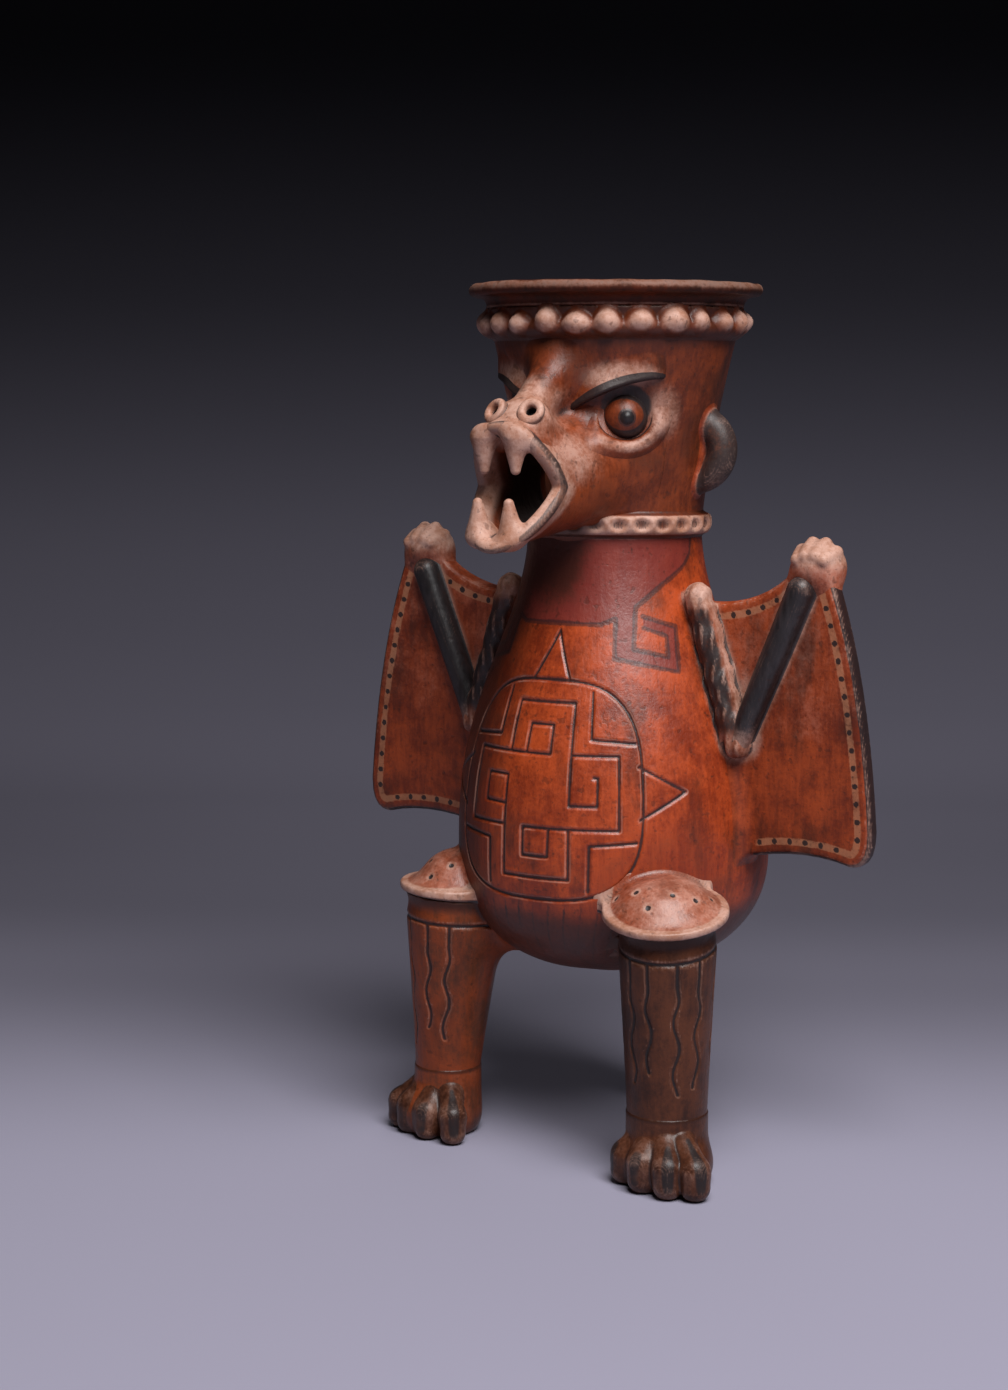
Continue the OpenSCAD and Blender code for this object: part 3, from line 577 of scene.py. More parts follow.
class Tree:
    """A material's nodes."""

    def __init__(self, name):
        self.material = bpy.data.materials.new(name)
        self.material.use_nodes = True
        self.nodes = self.material.node_tree.nodes
        self.links = self.material.node_tree.links
        self.shader = self.nodes["Principled BSDF"]

    def put(self, socket, value):
        if isinstance(value, Socket):
            self.links.new(value.socket, socket)
        else:
            socket.default_value = value

    def node(self, kind, settings=None, sockets=None, out=0):
        """Adds a node of a kind, sets it up, fills its sockets and returns one of its outputs."""
        node = self.nodes.new(kind)
        for key, value in (settings or {}).items():
            setattr(node, key, value)
        for key, value in (sockets or {}).items():
            self.put(node.inputs[key], value)
        return Socket(self, node.outputs[out])

    def mix(self, factor, a, b, blend_type="MIX"):
        a, b = (c if isinstance(c, Socket) else (*c, 1.0) for c in (a, b))
        return self.node("ShaderNodeMix", {"data_type": "RGBA", "blend_type": blend_type},
                         {0: factor, 6: a, 7: b}, 2)

    def noise(self, where, scale, detail=3.0, rough=0.55):
        return self.node("ShaderNodeTexNoise", {}, {"Vector": where, "Scale": scale, "Detail": detail,
                                                    "Roughness": rough}, "Fac")

    def stretched(self, where, scale):
        return self.node("ShaderNodeVectorMath", {"operation": "MULTIPLY"}, {0: where, 1: scale})

    def mask(self, name):
        return self.node("ShaderNodeAttribute", {"attribute_name": name}, {}, "Fac")

    def surface(self, **sockets):
        for key, value in sockets.items():
            self.put(self.shader.inputs[key.replace("_", " ")], value)


def clay(name, paint, light, deep, wear=0.5, gloss=0.42, grime_and_hollow_shade=0.75, streak=0.7, smudge=0.5, sheen=0.4,
         chips=0.34):
    """Slipped clay: brushed colour, rubbed crests, hollows darkened with grime and painted shade, pits, and
    paint, painted shade and painted highlights where its masks say.
    """
    t = Tree(name)
    where = t.node("ShaderNodeTexCoord", out="Object")
    broad = t.noise(where, 26.0, 4.0)
    blotch = t.noise(where, 95.0, 5.0, 0.6)
    grain = t.noise(where, 700.0, 4.0, 0.65)
    brushed = t.noise(t.stretched(where, (1.0, 1.0, 0.14)), 520.0, 4.0, 0.6)
    smear = t.noise(t.stretched(where, (1.0, 1.0, 0.45)), 62.0, 6.0, 0.62)
    specks = t.noise(where, 300.0, 2.0, 0.4).step(0.64, 0.72)
    scuffs = t.noise(where, 160.0, 6.0, 0.65).step(0.6, 0.75)
    pits = t.noise(where, 1000.0, 1.0, 0.4).step(0.66, 0.74)
    crest = t.mask("crest")
    broken = (blotch - 0.5) * 0.9 + (grain - 0.5) * 0.5
    tone = (broad - 0.5) * 1.4 + (blotch - 0.5) * 1.2 + (brushed - 0.5) * streak + (grain - 0.5) * 0.6 + 0.5
    bare_and_highlight = t.mix((blotch + (grain - 0.5) * 0.5).step(0.3, 0.7), paint.buff_deep, paint.buff)
    colour = t.mix(tone.step(0.12, 0.85), deep, light)
    colour = t.mix(smear.step(0.5, 0.72) * smudge, colour, paint.brown_deep)
    colour = t.mix((t.mask("maroon") + broken * 0.8).step(0.25, 0.85) * 0.85, colour, paint.maroon)
    colour = t.mix((t.mask("cream") + broken * 1.2).step(0.35, 0.9) * 0.55, colour, paint.cream)
    # The buff mask lays bare clay and, on some pieces, painted highlights.
    rubbed_and_highlit = (t.mask("buff") + broken * 0.55).step(0.12, 0.95)
    colour = t.mix(rubbed_and_highlit, colour, bare_and_highlight)
    black = (t.mask("black") + broken * 0.7).step(0.32, 0.68)
    colour = t.mix(black * 0.94, colour, paint.black)
    worn = (crest + broken * 1.2).step(0.3, 1.0) * wear
    colour = t.mix(worn, colour, bare_and_highlight)
    # This mask darkens towards deep brown: soot, and painted shade where the pieces lay it under and between
    # parts.
    soot_and_shade = (t.mask("soot_and_shade") + broken * 0.9).step(0.2, 0.9)
    colour = t.mix(soot_and_shade * 0.8, colour, paint.brown_deep)
    # Hollows are darkened towards black: grime and painted shade together.
    dirt_and_hollow_shade = (0.0 - crest + broken * 0.8).step(0.2, 1.0) * grime_and_hollow_shade
    colour = t.mix(dirt_and_hollow_shade, colour, paint.black)
    colour = t.mix(specks * 0.4 + scuffs * 0.3 + pits * 0.35, colour, paint.brown_deep)
    away = 4.0 - t.mask("line") + broken * 0.7
    chipped = away.step(0.6, 0.9) * away.step(1.45, 1.0) * smear.step(0.44, 0.6)
    colour = t.mix(chipped * chips, colour, paint.buff)
    colour = t.mix(away.step(0.8, 0.3) * 0.85, colour, paint.black)
    stroke = 4.0 - t.mask("stroke") + broken * 1.4
    colour = t.mix(stroke.step(1.3, 0.6) * 0.66, colour, paint.black)
    rough = (grain - 0.5) * 0.24 + (blotch - 0.5) * 0.2 + rubbed_and_highlit * 0.1 + gloss
    height = grain * 0.4 + brushed * 0.45 + blotch * 0.8 + broad * 3.0 - specks * 0.12
    height = height + away.step(0.2, 1.3) * 0.35
    normal = t.node("ShaderNodeBump", {}, {"Strength": 0.5, "Distance": 0.0006, "Height": height})
    t.surface(Base_Color=colour, Roughness=rough, Normal=normal, Specular_IOR_Level=sheen)
    return t.material


def make_materials(paint):
    """The finishes of the pieces: a light and a deep colour each, and how each is worn and polished."""
    grey = tuple(3.0 * k for k in paint.black)
    finishes = {
        "red_slip": (paint.red, paint.red_deep, dict(wear=0.3, gloss=0.4, smudge=0.6, sheen=0.5)),
        "orange_slip": (paint.orange, paint.orange_deep, dict(wear=0.5, gloss=0.42, smudge=0.7)),
        "brown_slip": (paint.brown, paint.brown_deep, dict(wear=0.3, gloss=0.36, sheen=0.3, chips=0.14)),
        "buff_clay": (paint.buff, paint.buff_deep, dict(wear=0.35, gloss=0.5, grime_and_hollow_shade=0.7)),
        "dark_slip": (grey, paint.black, dict(wear=0.35, gloss=0.4, streak=1.6)),
        "face_clay": (paint.rust, paint.rust_deep, dict(wear=0.5, gloss=0.43, grime_and_hollow_shade=0.9, smudge=0.8)),
        "rim_slip": (paint.rust_deep, paint.brown_deep, dict(wear=0.45, gloss=0.45, sheen=0.14)),
        "knee_slip": (paint.orange, paint.orange_deep, dict(wear=0.45, gloss=0.38, sheen=0.55)),
        "leg_slip": (paint.rust, paint.brown, dict(wear=0.3, gloss=0.36, sheen=0.3, chips=0.14)),
    }
    return {name: clay(name, paint, light, deep, **look) for name, (light, deep, look) in finishes.items()}


class PieceOperator:
    """What the operators of the pieces share."""
    bl_options = {"REGISTER"}
    finishes = {}

    def execute(self, context):
        if not self.finishes:
            self.finishes.update(make_materials(context.scene.bat_vessel_paint))
        self.build(Form(context.scene.bat_vessel_sizes))
        return {"FINISHED"}

    def seat(self, obj, slot, nodes, masks, finish=None):
        return finish_piece(obj, nodes, masks, self.finishes[finish or slot])


def both_sides():
    return (("left", 1), ("right", -1))


class EFFIGY_OT_body(PieceOperator, bpy.types.Operator):
    """Build the body, with its incised medallion and painted bib"""
    bl_idname = "effigy.body"
    bl_label = "Body"

    centre_az, centre_z, unit, chart_r = 3.0, 150.5, 34.0, 62.0
    reach_w, reach_h, squareness = 1.28, 1.25, 3.2
    hooks = (0.7, 0.42, 0.42, 0.42)
    chart_squeeze, fine_cell, plain_step = 0.75, 0.72, 2.2
    fine_from, fine_to, fine_low = -60, 104, 84.0

    def medallion(self):
        """Lines of the fret, its corners, its outline and its rays, in units from the middle."""
        lines = []
        for turn, hook in enumerate(self.hooks):
            arm = [(-0.42, 0.42), (-0.42, 1.0), (0.42, 1.0), (0.42, -0.15), (0.75, -0.15), (0.75, 0.17),
                   (hook, 0.18)]
            ray = [(-0.3, 1.24), (0.0, 1.8), (0.3, 1.24)]
            for _ in range(turn):
                arm = [(y, -x) for x, y in arm]
                ray = [(y, -x) for x, y in ray]
            lines += [arm] if turn == 2 else [arm, ray]
        for sx in (-1, 1):
            for sy in (-1, 1):
                lines.append([(0.65 * sx, 1.13 * sy), (0.66 * sx, 0.6 * sy), (1.2 * sx, 0.56 * sy)])
        a = np.radians(np.arange(0, 361, 6))
        c, s = np.cos(a), np.sin(a)
        n = 2.0 / self.squareness
        across, up = (np.sign(k) * np.abs(k) ** n for k in (c, s))
        lines.append(list(zip(self.reach_w * across, self.reach_h * up)))
        return [[(x * self.unit, y * self.unit) for x, y in line] for line in lines]

    def bib(self):
        """Painted bib on the chart of angle and height: its field, and the black lines round it."""
        edge = [(0, 214.5), (24, 214.3), (32, 216.5)]
        slope = [(43.5, 221), (61, 229.3), (80, 236), (89, 241), (93, 252)]
        outer = [(32, 216.5), (31.5, 201.5), (63, 195.8), (66, 213), (47, 217.4)]
        inner = [(43.5, 221), (41, 205), (58.7, 201.7), (59.5, 209.5), (47, 213)]
        field = [(0, 255)] + edge + outer[1:] + inner[:0:-1] + slope + [(93, 255)]
        return field, edge + outer[1:], inner, [inner[0]] + slope

    def to_medallion(self, az, height):
        """Distance on the wall to the nearest line of the medallion."""
        across = np.radians(az - self.centre_az) * self.chart_r
        return to_lines(across, height - self.centre_z, self.medallion())

    def build(self, form):
        fine = self.fine_cell * COARSE
        columns = np.concatenate([np.arange(self.fine_from, self.fine_to, math.degrees(fine / form.belly_r)),
                                  np.arange(self.fine_to, self.fine_from + 360, self.plain_step * COARSE)])
        obj, points = lathe("body", self.rings(form, columns, fine), columns)
        self.seat(obj, "red_slip", ["body"], self.masks(form, points))

    def rings(self, form, columns, fine):
        """Rings of the outside, closely set and grooved where the medallion is, and then of the inside."""
        line = form.body_curve(400, 600)
        gaps = np.concatenate([[0], np.cumsum(np.hypot(*np.diff(line, axis=0).T))])
        start, end = np.interp([self.fine_low, form.neck_z - 1], line[:, 1], gaps)
        stops = np.concatenate([np.linspace(0.6, start, int(22 / COARSE))[:-1], np.arange(start, end, fine),
                                [gaps[-1]]])
        r, z = (np.interp(stops, gaps, line[:, k]) for k in (0, 1))
        slope = np.stack([np.gradient(r, stops), np.gradient(z, stops)], -1)
        slope /= length(slope)[:, None]
        grid = np.stack([ring_points(a, b, columns) for a, b in zip(r, z)])
        gap = self.to_medallion(heading(grid), grid[..., 2])
        half = form.groove_w / 2
        depth = -form.groove_d * np.clip(1 - (gap / half) ** 2, 0, 1)
        depth += 0.1 * np.exp(-((gap - 1.55 * half) / (0.4 * half)) ** 2)
        push = depth + form.stray(grid) * np.clip(r / 20, 0, 1)[:, None]
        out = grid / np.maximum(from_axis(grid), 1e-6)[..., None]
        grid[..., :2] += (push * slope[:, 1:2])[..., None] * out[..., :2]
        grid[..., 2] -= push * slope[:, :1]
        inner = form.body_curve(30, 50, form.wall)[::-1]
        return list(grid) + [ring_points(max(a, 0.4), b, columns) for a, b in inner]

    def masks(self, form, points):
        """Where the body is grooved, painted and rubbed, and where it is darkened by soot and painted shade.
        """
        az, height = heading(points), points[:, 2]
        outside = from_axis(points) > form.wall_r(height) - 2.5
        gap = np.where(outside, self.to_medallion(az, height), 99.0)
        field, *lines = ([(a * self.chart_squeeze, b) for a, b in line] for line in self.bib())
        chart = np.abs(az - 1.0) * self.chart_squeeze
        brush = to_lines(chart, height, lines)
        mirrored = points * [-1, 1, 1]
        to_arm = np.minimum.reduce([arm(q) for q in (points, mirrored)
                                    for arm in (form.upper_arm_field, form.forearm_field)])
        stripes = np.abs((az * 0.16 + (110 - height) * 0.03) % 1.0 - 0.5) * 6.5
        under = smooth_step(112, 104, height) * smooth_step(46, 36, np.abs(az - 5))
        knee = np.minimum(*(length(q - form.leg_at(leg) - [0, 0, form.knee_z])
                            for q, leg in ((points, LEGS["left"]), (mirrored, LEGS["right"]))))
        return {
            "line": np.clip(4.0 - gap, 0, 4),
            "buff": 0.55 * smooth_step(4.0, 0.5, to_arm) * outside,
            "maroon": inside(chart, height, field) * outside,
            "stroke": np.clip(4.0 - brush, 0, 4) * outside,
            "black": 0.5 * smooth_step(0.9, 0.4, stripes) * under * outside,
            # Painted shade round the tops of the legs, under the belly and on the neck's front under the jaw;
            # painted shade with smoke-darkening on the bat's right flank; an even soot inside.
            "soot_and_shade": np.where(outside, np.maximum.reduce([
                0.4 * smooth_step(44, 26, knee), smooth_step(112, 92, height),
                smooth_step(30, 0, az) * smooth_step(208, 236, height),
                0.8 * smooth_step(6, -40, az) * smooth_step(-90, -60, az)]), 0.6),
        }


class EFFIGY_OT_head(PieceOperator, bpy.types.Operator):
    """Build the head wall with its throat hole, and the flared rim"""
    bl_idname = "effigy.head"
    bl_label = "Head and rim"

    def build(self, form):
        def field(p):
            shell = np.maximum(form.face_field(p), -(form.wall_field(p) + form.wall))
            ends = np.maximum(form.neck_z - p[..., 2], p[..., 2] - form.rim_z)
            throat = np.maximum(np.hypot(p[..., 0], p[..., 2] - form.mouth_z) - form.throat_r, p[..., 1])
            return carve(np.maximum(shell, ends), throat, 2.0)

        reach = form.head_top_r + 3
        low, high = (-reach, -reach, form.neck_z - 2), (reach, reach, form.rim_z + 2)
        obj, points = sculpt("head", field, low, high, 1.25 * form.voxel)
        outside = form.wall_field(points) > -4.5
        buff, soot_and_shade = form.face_paint(points)
        # The black over each eye, between brow and eyeball, is painted shade under the brow.
        socket = form.on_head(form.eye_az, form.eye_z + 4)
        to_socket_shadow = np.minimum(*(length((q - socket) * [1, 1, 1.15]) for q in (points, points * [-1, 1, 1])))
        over_eye = smooth_step(-6, 0, points[:, 2] - form.eye_z)
        masks = {"buff": buff * outside, "soot_and_shade": np.where(outside, soot_and_shade, 0.8),
                 "black": 0.66 * smooth_step(12.5, 9.0, to_socket_shadow) * outside * over_eye}
        self.seat(obj, "red_slip", ["head"], masks, "face_clay")
        self.build_rim(form)

    def build_rim(self, form):
        lip_t, columns = 5.0, np.arange(0, 360, 1.5 * COARSE)
        lip_in, inner_r, top = form.lip_r - lip_t / 2, form.head_top_r - form.wall, form.lip_z
        low = top - lip_t
        under = bend((form.head_top_r, form.rim_z), (form.head_top_r, low), (lip_in, low), 14)
        a = np.radians(np.linspace(-60, 90, 11))
        edge = list(zip(lip_in + lip_t / 2 * np.cos(a), top - lip_t / 2 + lip_t / 2 * np.sin(a)))
        mouth = bend((lip_in - lip_t / 2, top), (inner_r, top), (inner_r, form.rim_z), 14)
        az = np.radians(columns)
        dents = 0.35 * np.sin(9 * az + 1) * np.sin(4 * az) + 0.2 * np.sin(23 * az)
        rings = []
        for r, z in under + edge + mouth:
            ring = ring_points(r, z, columns)
            lift = (z - form.rim_z) / (top - form.rim_z)
            ring[:, :2] *= (1 + (form.stray(ring) + lift * dents * 0.6) / r)[:, None]
            ring[:, 2] += lift * (0.25 * np.sin(2 * az + 2.2) + 0.3 * dents)
            rings.append(ring)
        obj, points = lathe("rim_lip", rings, columns)
        z = points[:, 2]
        edge = smooth_step(lip_in - 1, lip_in + 1.5, from_axis(points)) * smooth_step(top - 4.5, top - 1.5, z)
        # Pale and black along the lip's worn edge; the lip's underside is darkened with painted shade.
        masks = {"buff": 0.5 * edge, "black": 0.42 * edge,
                 "soot_and_shade": 0.3 * smooth_step(top - 3, top - 6, z)}
        self.seat(obj, "brown_slip", ["rim_lip"], masks, "rim_slip")


class EFFIGY_OT_beads(PieceOperator, bpy.types.Operator):
    """Build the row of pellets on its strip, and the thumb-printed collar"""
    bl_idname = "effigy.beads"
    bl_label = "Beads and collar"

    bead_count, bead_drop, strip_r = 25, 6.0, 3.0
    bead_w, bead_h, bead_proud, bead_round = 5.5, 5.0, 5.4, 1.8
    print_count, collar_r, collar_up, thumb = 26, 4.2, 2.5, (4.2, 3.0, 3.5)

    def folded(self, p, count, shift=0.0, skip=0):
        """Points turned to the nearest of count like marks, or to one that many further, and its number."""
        pitch = 360.0 / count
        az = heading(p)
        number = np.round((az - shift) / pitch) + skip
        a = np.radians(az - shift - number * pitch)
        rho = from_axis(p)
        return np.stack([rho * np.sin(a), rho * np.cos(a), p[..., 2]], -1), number.astype(int) % count

    def build(self, form):
        luck = np.random.default_rng(7)
        bead_z = form.rim_z - self.bead_drop
        strip_z = bead_z - self.strip_r
        jitter = luck.uniform(-1, 1, (self.bead_count, 4))

        def strip_field(p):
            gap = form.wall_field(p)
            return blend(np.hypot(gap, p[..., 2] - strip_z) - self.strip_r, gap + SKIN, 2.5)

        def strip_solid(p):
            return np.maximum.reduce([strip_field(p), -(form.wall_field(p) + SINK),
                                      np.abs(p[..., 2] - strip_z) - 2 * self.strip_r])

        def nub_field(p, skip):
            q, i = self.folded(p, self.bead_count, skip=skip)
            j = jitter[i]
            r = float(form.head_r(bead_z)) + 0.3 + 0.4 * j[..., 0]
            across, up = q[..., 0] - 1.2 * j[..., 1], q[..., 2] - bead_z - 0.9 * j[..., 2]
            w, h = self.bead_w + 0.7 * j[..., 3], self.bead_h + 0.5 * j[..., 0]
            shares = (across / w, (q[..., 1] - r) / self.bead_proud, up / h)
            k = sum(np.abs(share) ** self.bead_round for share in shares) ** (1 / self.bead_round)
            return (k - 1) * 4.4

        def bead_field(p):
            nubs = np.minimum.reduce([nub_field(p, skip) for skip in (-1, 0, 1)])
            return luted(nubs, np.minimum(form.wall_field(p), strip_field(p)), 2.4)

        reach = form.lip_r + 2
        low, high = (-reach, -reach, strip_z - 7), (reach, reach, strip_z + 7)
        obj, points = sculpt("bead_strip", strip_solid, low, high, 1.2 * form.voxel)
        # The strip is darkened all over and black along its lower edge: painted shade under the pellets.
        masks = {"soot_and_shade": np.full(len(points), 0.7), "crest": np.zeros(len(points)),
                 "black": 0.4 * smooth_step(strip_z, strip_z - 4, points[:, 2])}
        self.seat(obj, "red_slip", ["bead_strip"], masks, "face_clay")
        low, high = (-reach, -reach, bead_z - 8), (reach, reach, bead_z + 7)
        obj, points = sculpt("rim_beads", bead_field, low, high, form.voxel)
        out = form.wall_field(points)
        # Pellets are pale on their proud tops, wear and painted highlight, and darker below: painted shade.
        high = smooth_step(0.0, 5.0, out + 0.35 * (points[:, 2] - bead_z))
        masks = {"buff": 1.15 * high ** 1.5, "soot_and_shade": 0.7 * (1 - high),
                 "crest": crests_off(obj.data, np.minimum(out, strip_field(points)), 1.0, 3.0)}
        self.seat(obj, "buff_clay", ["rim_beads"], masks, "face_clay")
        self.build_collar(form, luck)

    def build_collar(self, form, luck):
        z0 = form.neck_z + self.collar_up
        jitter = luck.uniform(-1, 1, (self.print_count, 2))

        def field(p):
            gap = form.wall_field(p)
            up = p[..., 2] - z0 - 0.4 * np.sin(np.radians(heading(p)) * 2 + 0.5)
            band = blend(overlap(np.hypot(gap + 0.8, up) - self.collar_r - 0.8, np.abs(up) - 4.9, 2.0),
                         gap + SKIN, 2.0)
            q, i = self.folded(p, self.print_count, 180.0 / self.print_count)
            j = jitter[i]
            r = float(form.head_r(z0)) + self.collar_r
            thumb = np.stack([q[..., 0] - 0.3 * j[..., 0], q[..., 1] - r - 1.0, up - 0.2 * j[..., 1]], -1)
            dent = ball(thumb, (0, 0, 0), self.thumb)
            return np.maximum.reduce([carve(band, dent, 0.9), -(gap + SINK), np.abs(up) - 6.5])

        reach = form.head_r(z0) + 8
        low, high = (-reach, -reach, z0 - 8), (reach, reach, z0 + 8)
        obj, points = sculpt("collar_band", field, low, high, 0.9 * form.voxel)
        out, az = form.wall_field(points), np.abs(heading(points))
        # Dirt and painted shade in the dents and at the foot, and painted shade on the sides and the front
        # under the jaw.
        masks = {"crest": crests_off(obj.data, out),
                 "buff": 1.1 * smooth_step(1.4, 3.4, out), "black": 0.42 * smooth_step(3.8, 1.8, out),
                 "soot_and_shade": np.maximum(0.5 * smooth_step(3.0, 1.0, out) + 0.25 * smooth_step(60, 110, az),
                                    0.85 * smooth_step(28, 6, az))}
        self.seat(obj, "buff_clay", ["collar_band"], masks, "face_clay")


class EFFIGY_OT_muzzle(PieceOperator, bpy.types.Operator):
    """Build the gaping muzzle and its fangs"""
    bl_idname = "effigy.muzzle"
    bl_label = "Muzzle and fangs"

    def build(self, form):
        def field(p):
            outer = form.muzzle_fields(p)[0]
            wall = form.wall_field(p)
            return np.maximum.reduce([form.muzzle_field(p), -(wall + SINK), outer - 9, wall - 70])

        low = (-42, -form.neck_r - form.jaw_reach - 6, form.mouth_z - 36)
        obj, points = sculpt("muzzle", field, low, (42, -18, form.mouth_z + 46), form.voxel)
        outer, inner, lips = form.muzzle_fields(points)
        # The mouth's inside is painted black and the lips' inner faces are darkened: painted shade.
        deep = smooth_step(3.0, 0.5, inner) * smooth_step(-6, -18, lips)
        low_lip = smooth_step(2, -6, points[:, 2] - form.mouth_z)
        edge = smooth_step(-2.0 - 1.4 * low_lip, -0.9 - 1.2 * low_lip, outer)
        buff, soot_and_shade = form.face_paint(points)
        masks = {
            "buff": np.maximum(buff, (0.7 + 0.4 * low_lip) * smooth_step(-12, -5, lips)) * (1 - deep),
            "black": np.maximum.reduce([0.62 * edge * smooth_step(-5.0, -3.4, lips), deep,
                                        0.4 * (1 - low_lip) * smooth_step(-7, -3, lips)]),
            "soot_and_shade": np.maximum(soot_and_shade * smooth_step(-4, -12, lips),
                               0.6 * smooth_step(2.5, 0.5, inner) * smooth_step(-3, -8, lips)),
            "crest": crests_off(obj.data, form.wall_field(points)),
        }
        self.seat(obj, "buff_clay", ["muzzle"], masks, "face_clay")
        for name, up in (("upper_fangs", -1), ("lower_fangs", 1)):
            self.build_fangs(form, name, up)

    def build_fangs(self, form, name, up):
        lower = up > 0
        root_z = form.mouth_z - up * form.fang_root
        y = -form.neck_r - form.jaw_reach + form.fang_r + 2.6 - (form.lower_fang_fore if lower else 1.5)
        right = form.lower_fang_right if lower else form.upper_fang_right
        tall = form.lower_fang if lower else form.upper_fang

        def fang(p):
            tip = (form.fang_x, y, root_z + up * (tall - 2.1))
            root = (form.fang_x, y + 1.5 * lower, root_z + up)
            return bar(on_left(p + [right, 0, 0]), root, tip, form.fang_r + 1.1, 2.0)

        def field(p):
            return luted(fang(p), form.muzzle_field(p), 4.0)

        low = (-20, y - 9, min(root_z, root_z + up * 18) - 8)
        high = (20, y + 12, max(root_z, root_z + up * 18) + 8)
        obj, points = sculpt(name, field, low, high, 0.7 * form.voxel)
        reach = (points[:, 2] - root_z) * up
        # The fangs darken towards their roots: painted shade.
        masks = {"buff": np.full(len(points), 1.0 if lower else 0.8),
                 "soot_and_shade": 0.3 * smooth_step(4, -1, reach)}
        self.seat(obj, "buff_clay", [name], masks, "face_clay")


class EFFIGY_OT_face(PieceOperator, bpy.types.Operator):
    """Build the nose, nostrils, eyes, pupils, brows and eyelids"""
    bl_idname = "effigy.face"
    bl_label = "Nose and eyes"

    def build(self, form):
        fine = 0.62 * form.voxel
        carrier = lambda p: np.minimum(form.wall_field(p), form.muzzle_field(p))
        pad_y, pad_z = form.nose_y + form.nose_r / 2, form.nose_z - form.nose_r / 2
        bridge = form.on_head(0, form.nose_z + 2.6 * form.nose_r, -2.5)
        turn = turn_z(math.radians(18)) @ turn_x(math.radians(60))
        seat = np.array([form.nostril_x, pad_y, pad_z]) + turn @ [0, 0, form.nose_r]

        def nostril_local(p):
            return (p - seat) @ turn

        def nose_field(p):
            q = on_left(p)
            pad = bar(q, (0, pad_y, pad_z), (form.nostril_x, pad_y, pad_z), form.nose_r)
            ridge = bar(q, bridge, (0, pad_y + 5, pad_z + 3), form.nose_r + 2.5, form.nose_r + 1)
            local = nostril_local(q)
            hole = np.maximum(from_axis(local) - form.nostril_hole_r, np.abs(local[..., 2]) - 4)
            return carve(luted(blend(pad, ridge, 5.0), carrier(p), 10.0), hole, 0.8)

        obj, points = sculpt("nose", nose_field, (-22, -86, pad_z - 16), (22, -28, bridge[2] + 14), fine)
        local = nostril_local(on_left(points))
        # Black in the nostril holes: painted shade.
        pricked = 0.95 * smooth_step(2.5, 1.8, from_axis(local)) * (np.abs(local[:, 2]) < 5)
        outer, _, lips = form.muzzle_fields(points)
        lip_line = 0.62 * smooth_step(-2.0, -0.8, outer) * smooth_step(-5.0, -3.4, lips)
        buff, soot_and_shade = form.face_paint(points)
        masks = {"buff": 0.85 * buff, "soot_and_shade": soot_and_shade, "black": np.maximum(lip_line, pricked)}
        self.seat(obj, "buff_clay", ["nose"], masks, "face_clay")

        def nostril_field(p):
            q = nostril_local(p)
            r = from_axis(q)
            tube = (form.nostril_r - form.nostril_hole_r) / 2
            ring = np.hypot(r - form.nostril_r + tube, q[..., 2]) - tube
            hole = np.maximum(r - form.nostril_hole_r, np.abs(q[..., 2]) - 5)
            return carve(luted(ring, nose_field(p), 1.2), hole, 0.6)

        for name, side in both_sides():
            obj, points = sculpt(name + "_nostril", nostril_field, seat - 9, seat + 9, 0.8 * fine, side)
            r = from_axis(nostril_local(points))
            # Black in the hole and darker round the foot of the ring: painted shade.
            masks = {"buff": np.full(len(points), 0.85), "soot_and_shade": 0.7 * smooth_step(4.6, 5.6, r),
                     "black": smooth_step(2.3, 1.7, r)}
            self.seat(obj, "buff_clay", [name + "_nostril"], masks, "face_clay")
        for name, side in both_sides():
            self.build_eye(form, name, side, fine)
            self.build_brow(form, name, side, fine)
            self.build_lid(form, name, side, fine)

    def build_eye(self, form, name, side, fine):
        out = form.on_head(form.eye_az, form.eye_z) - [0, 0, form.eye_z]
        out /= length(out)
        eye_at = form.on_head(form.eye_az, form.eye_z, form.eye_out - form.eye_r)
        pupil_at = form.on_head(form.eye_az, form.eye_z, form.eye_out - form.pupil_r + 1)

        def eye_field(p):
            return luted(ball(p, eye_at, form.eye_r), form.face_field(p), 1.0)

        def pupil_field(p):
            return luted(ball(p, pupil_at, form.pupil_r), ball(p, eye_at, form.eye_r), 0.8)

        obj, points = sculpt(name + "_eye", eye_field, eye_at - 12, eye_at + 12, fine, side)
        look = (points - eye_at) / length(points - eye_at)[:, None]
        aside, up = look @ [-out[1], out[0], 0], look[:, 2]
        # The black ring sits off-centre, so it paints shade along the eyeball's lower edge; the paler top is
        # a painted highlight.
        ring = np.hypot((aside + 0.08) / 0.95, (up - 0.12) / 0.78)
        iris = 0.6 * smooth_step(0.46, 0.4, np.hypot(aside, up))
        masks = {"black": np.maximum(0.9 * smooth_step(0.78, 1.0, ring), iris),
                 "buff": 0.22 * smooth_step(0.2, 0.5, up), "soot_and_shade": np.full(len(points), 0.22),
                 "crest": np.zeros(len(points))}
        self.seat(obj, "red_slip", [name + "_eye"], masks, "face_clay")

        obj, points = sculpt(name + "_pupil", pupil_field, pupil_at - 6, pupil_at + 6, 0.7 * fine, side)
        masks = {"black": np.ones(len(points)), "crest": np.zeros(len(points))}
        self.seat(obj, "dark_slip", [name + "_pupil"], masks)

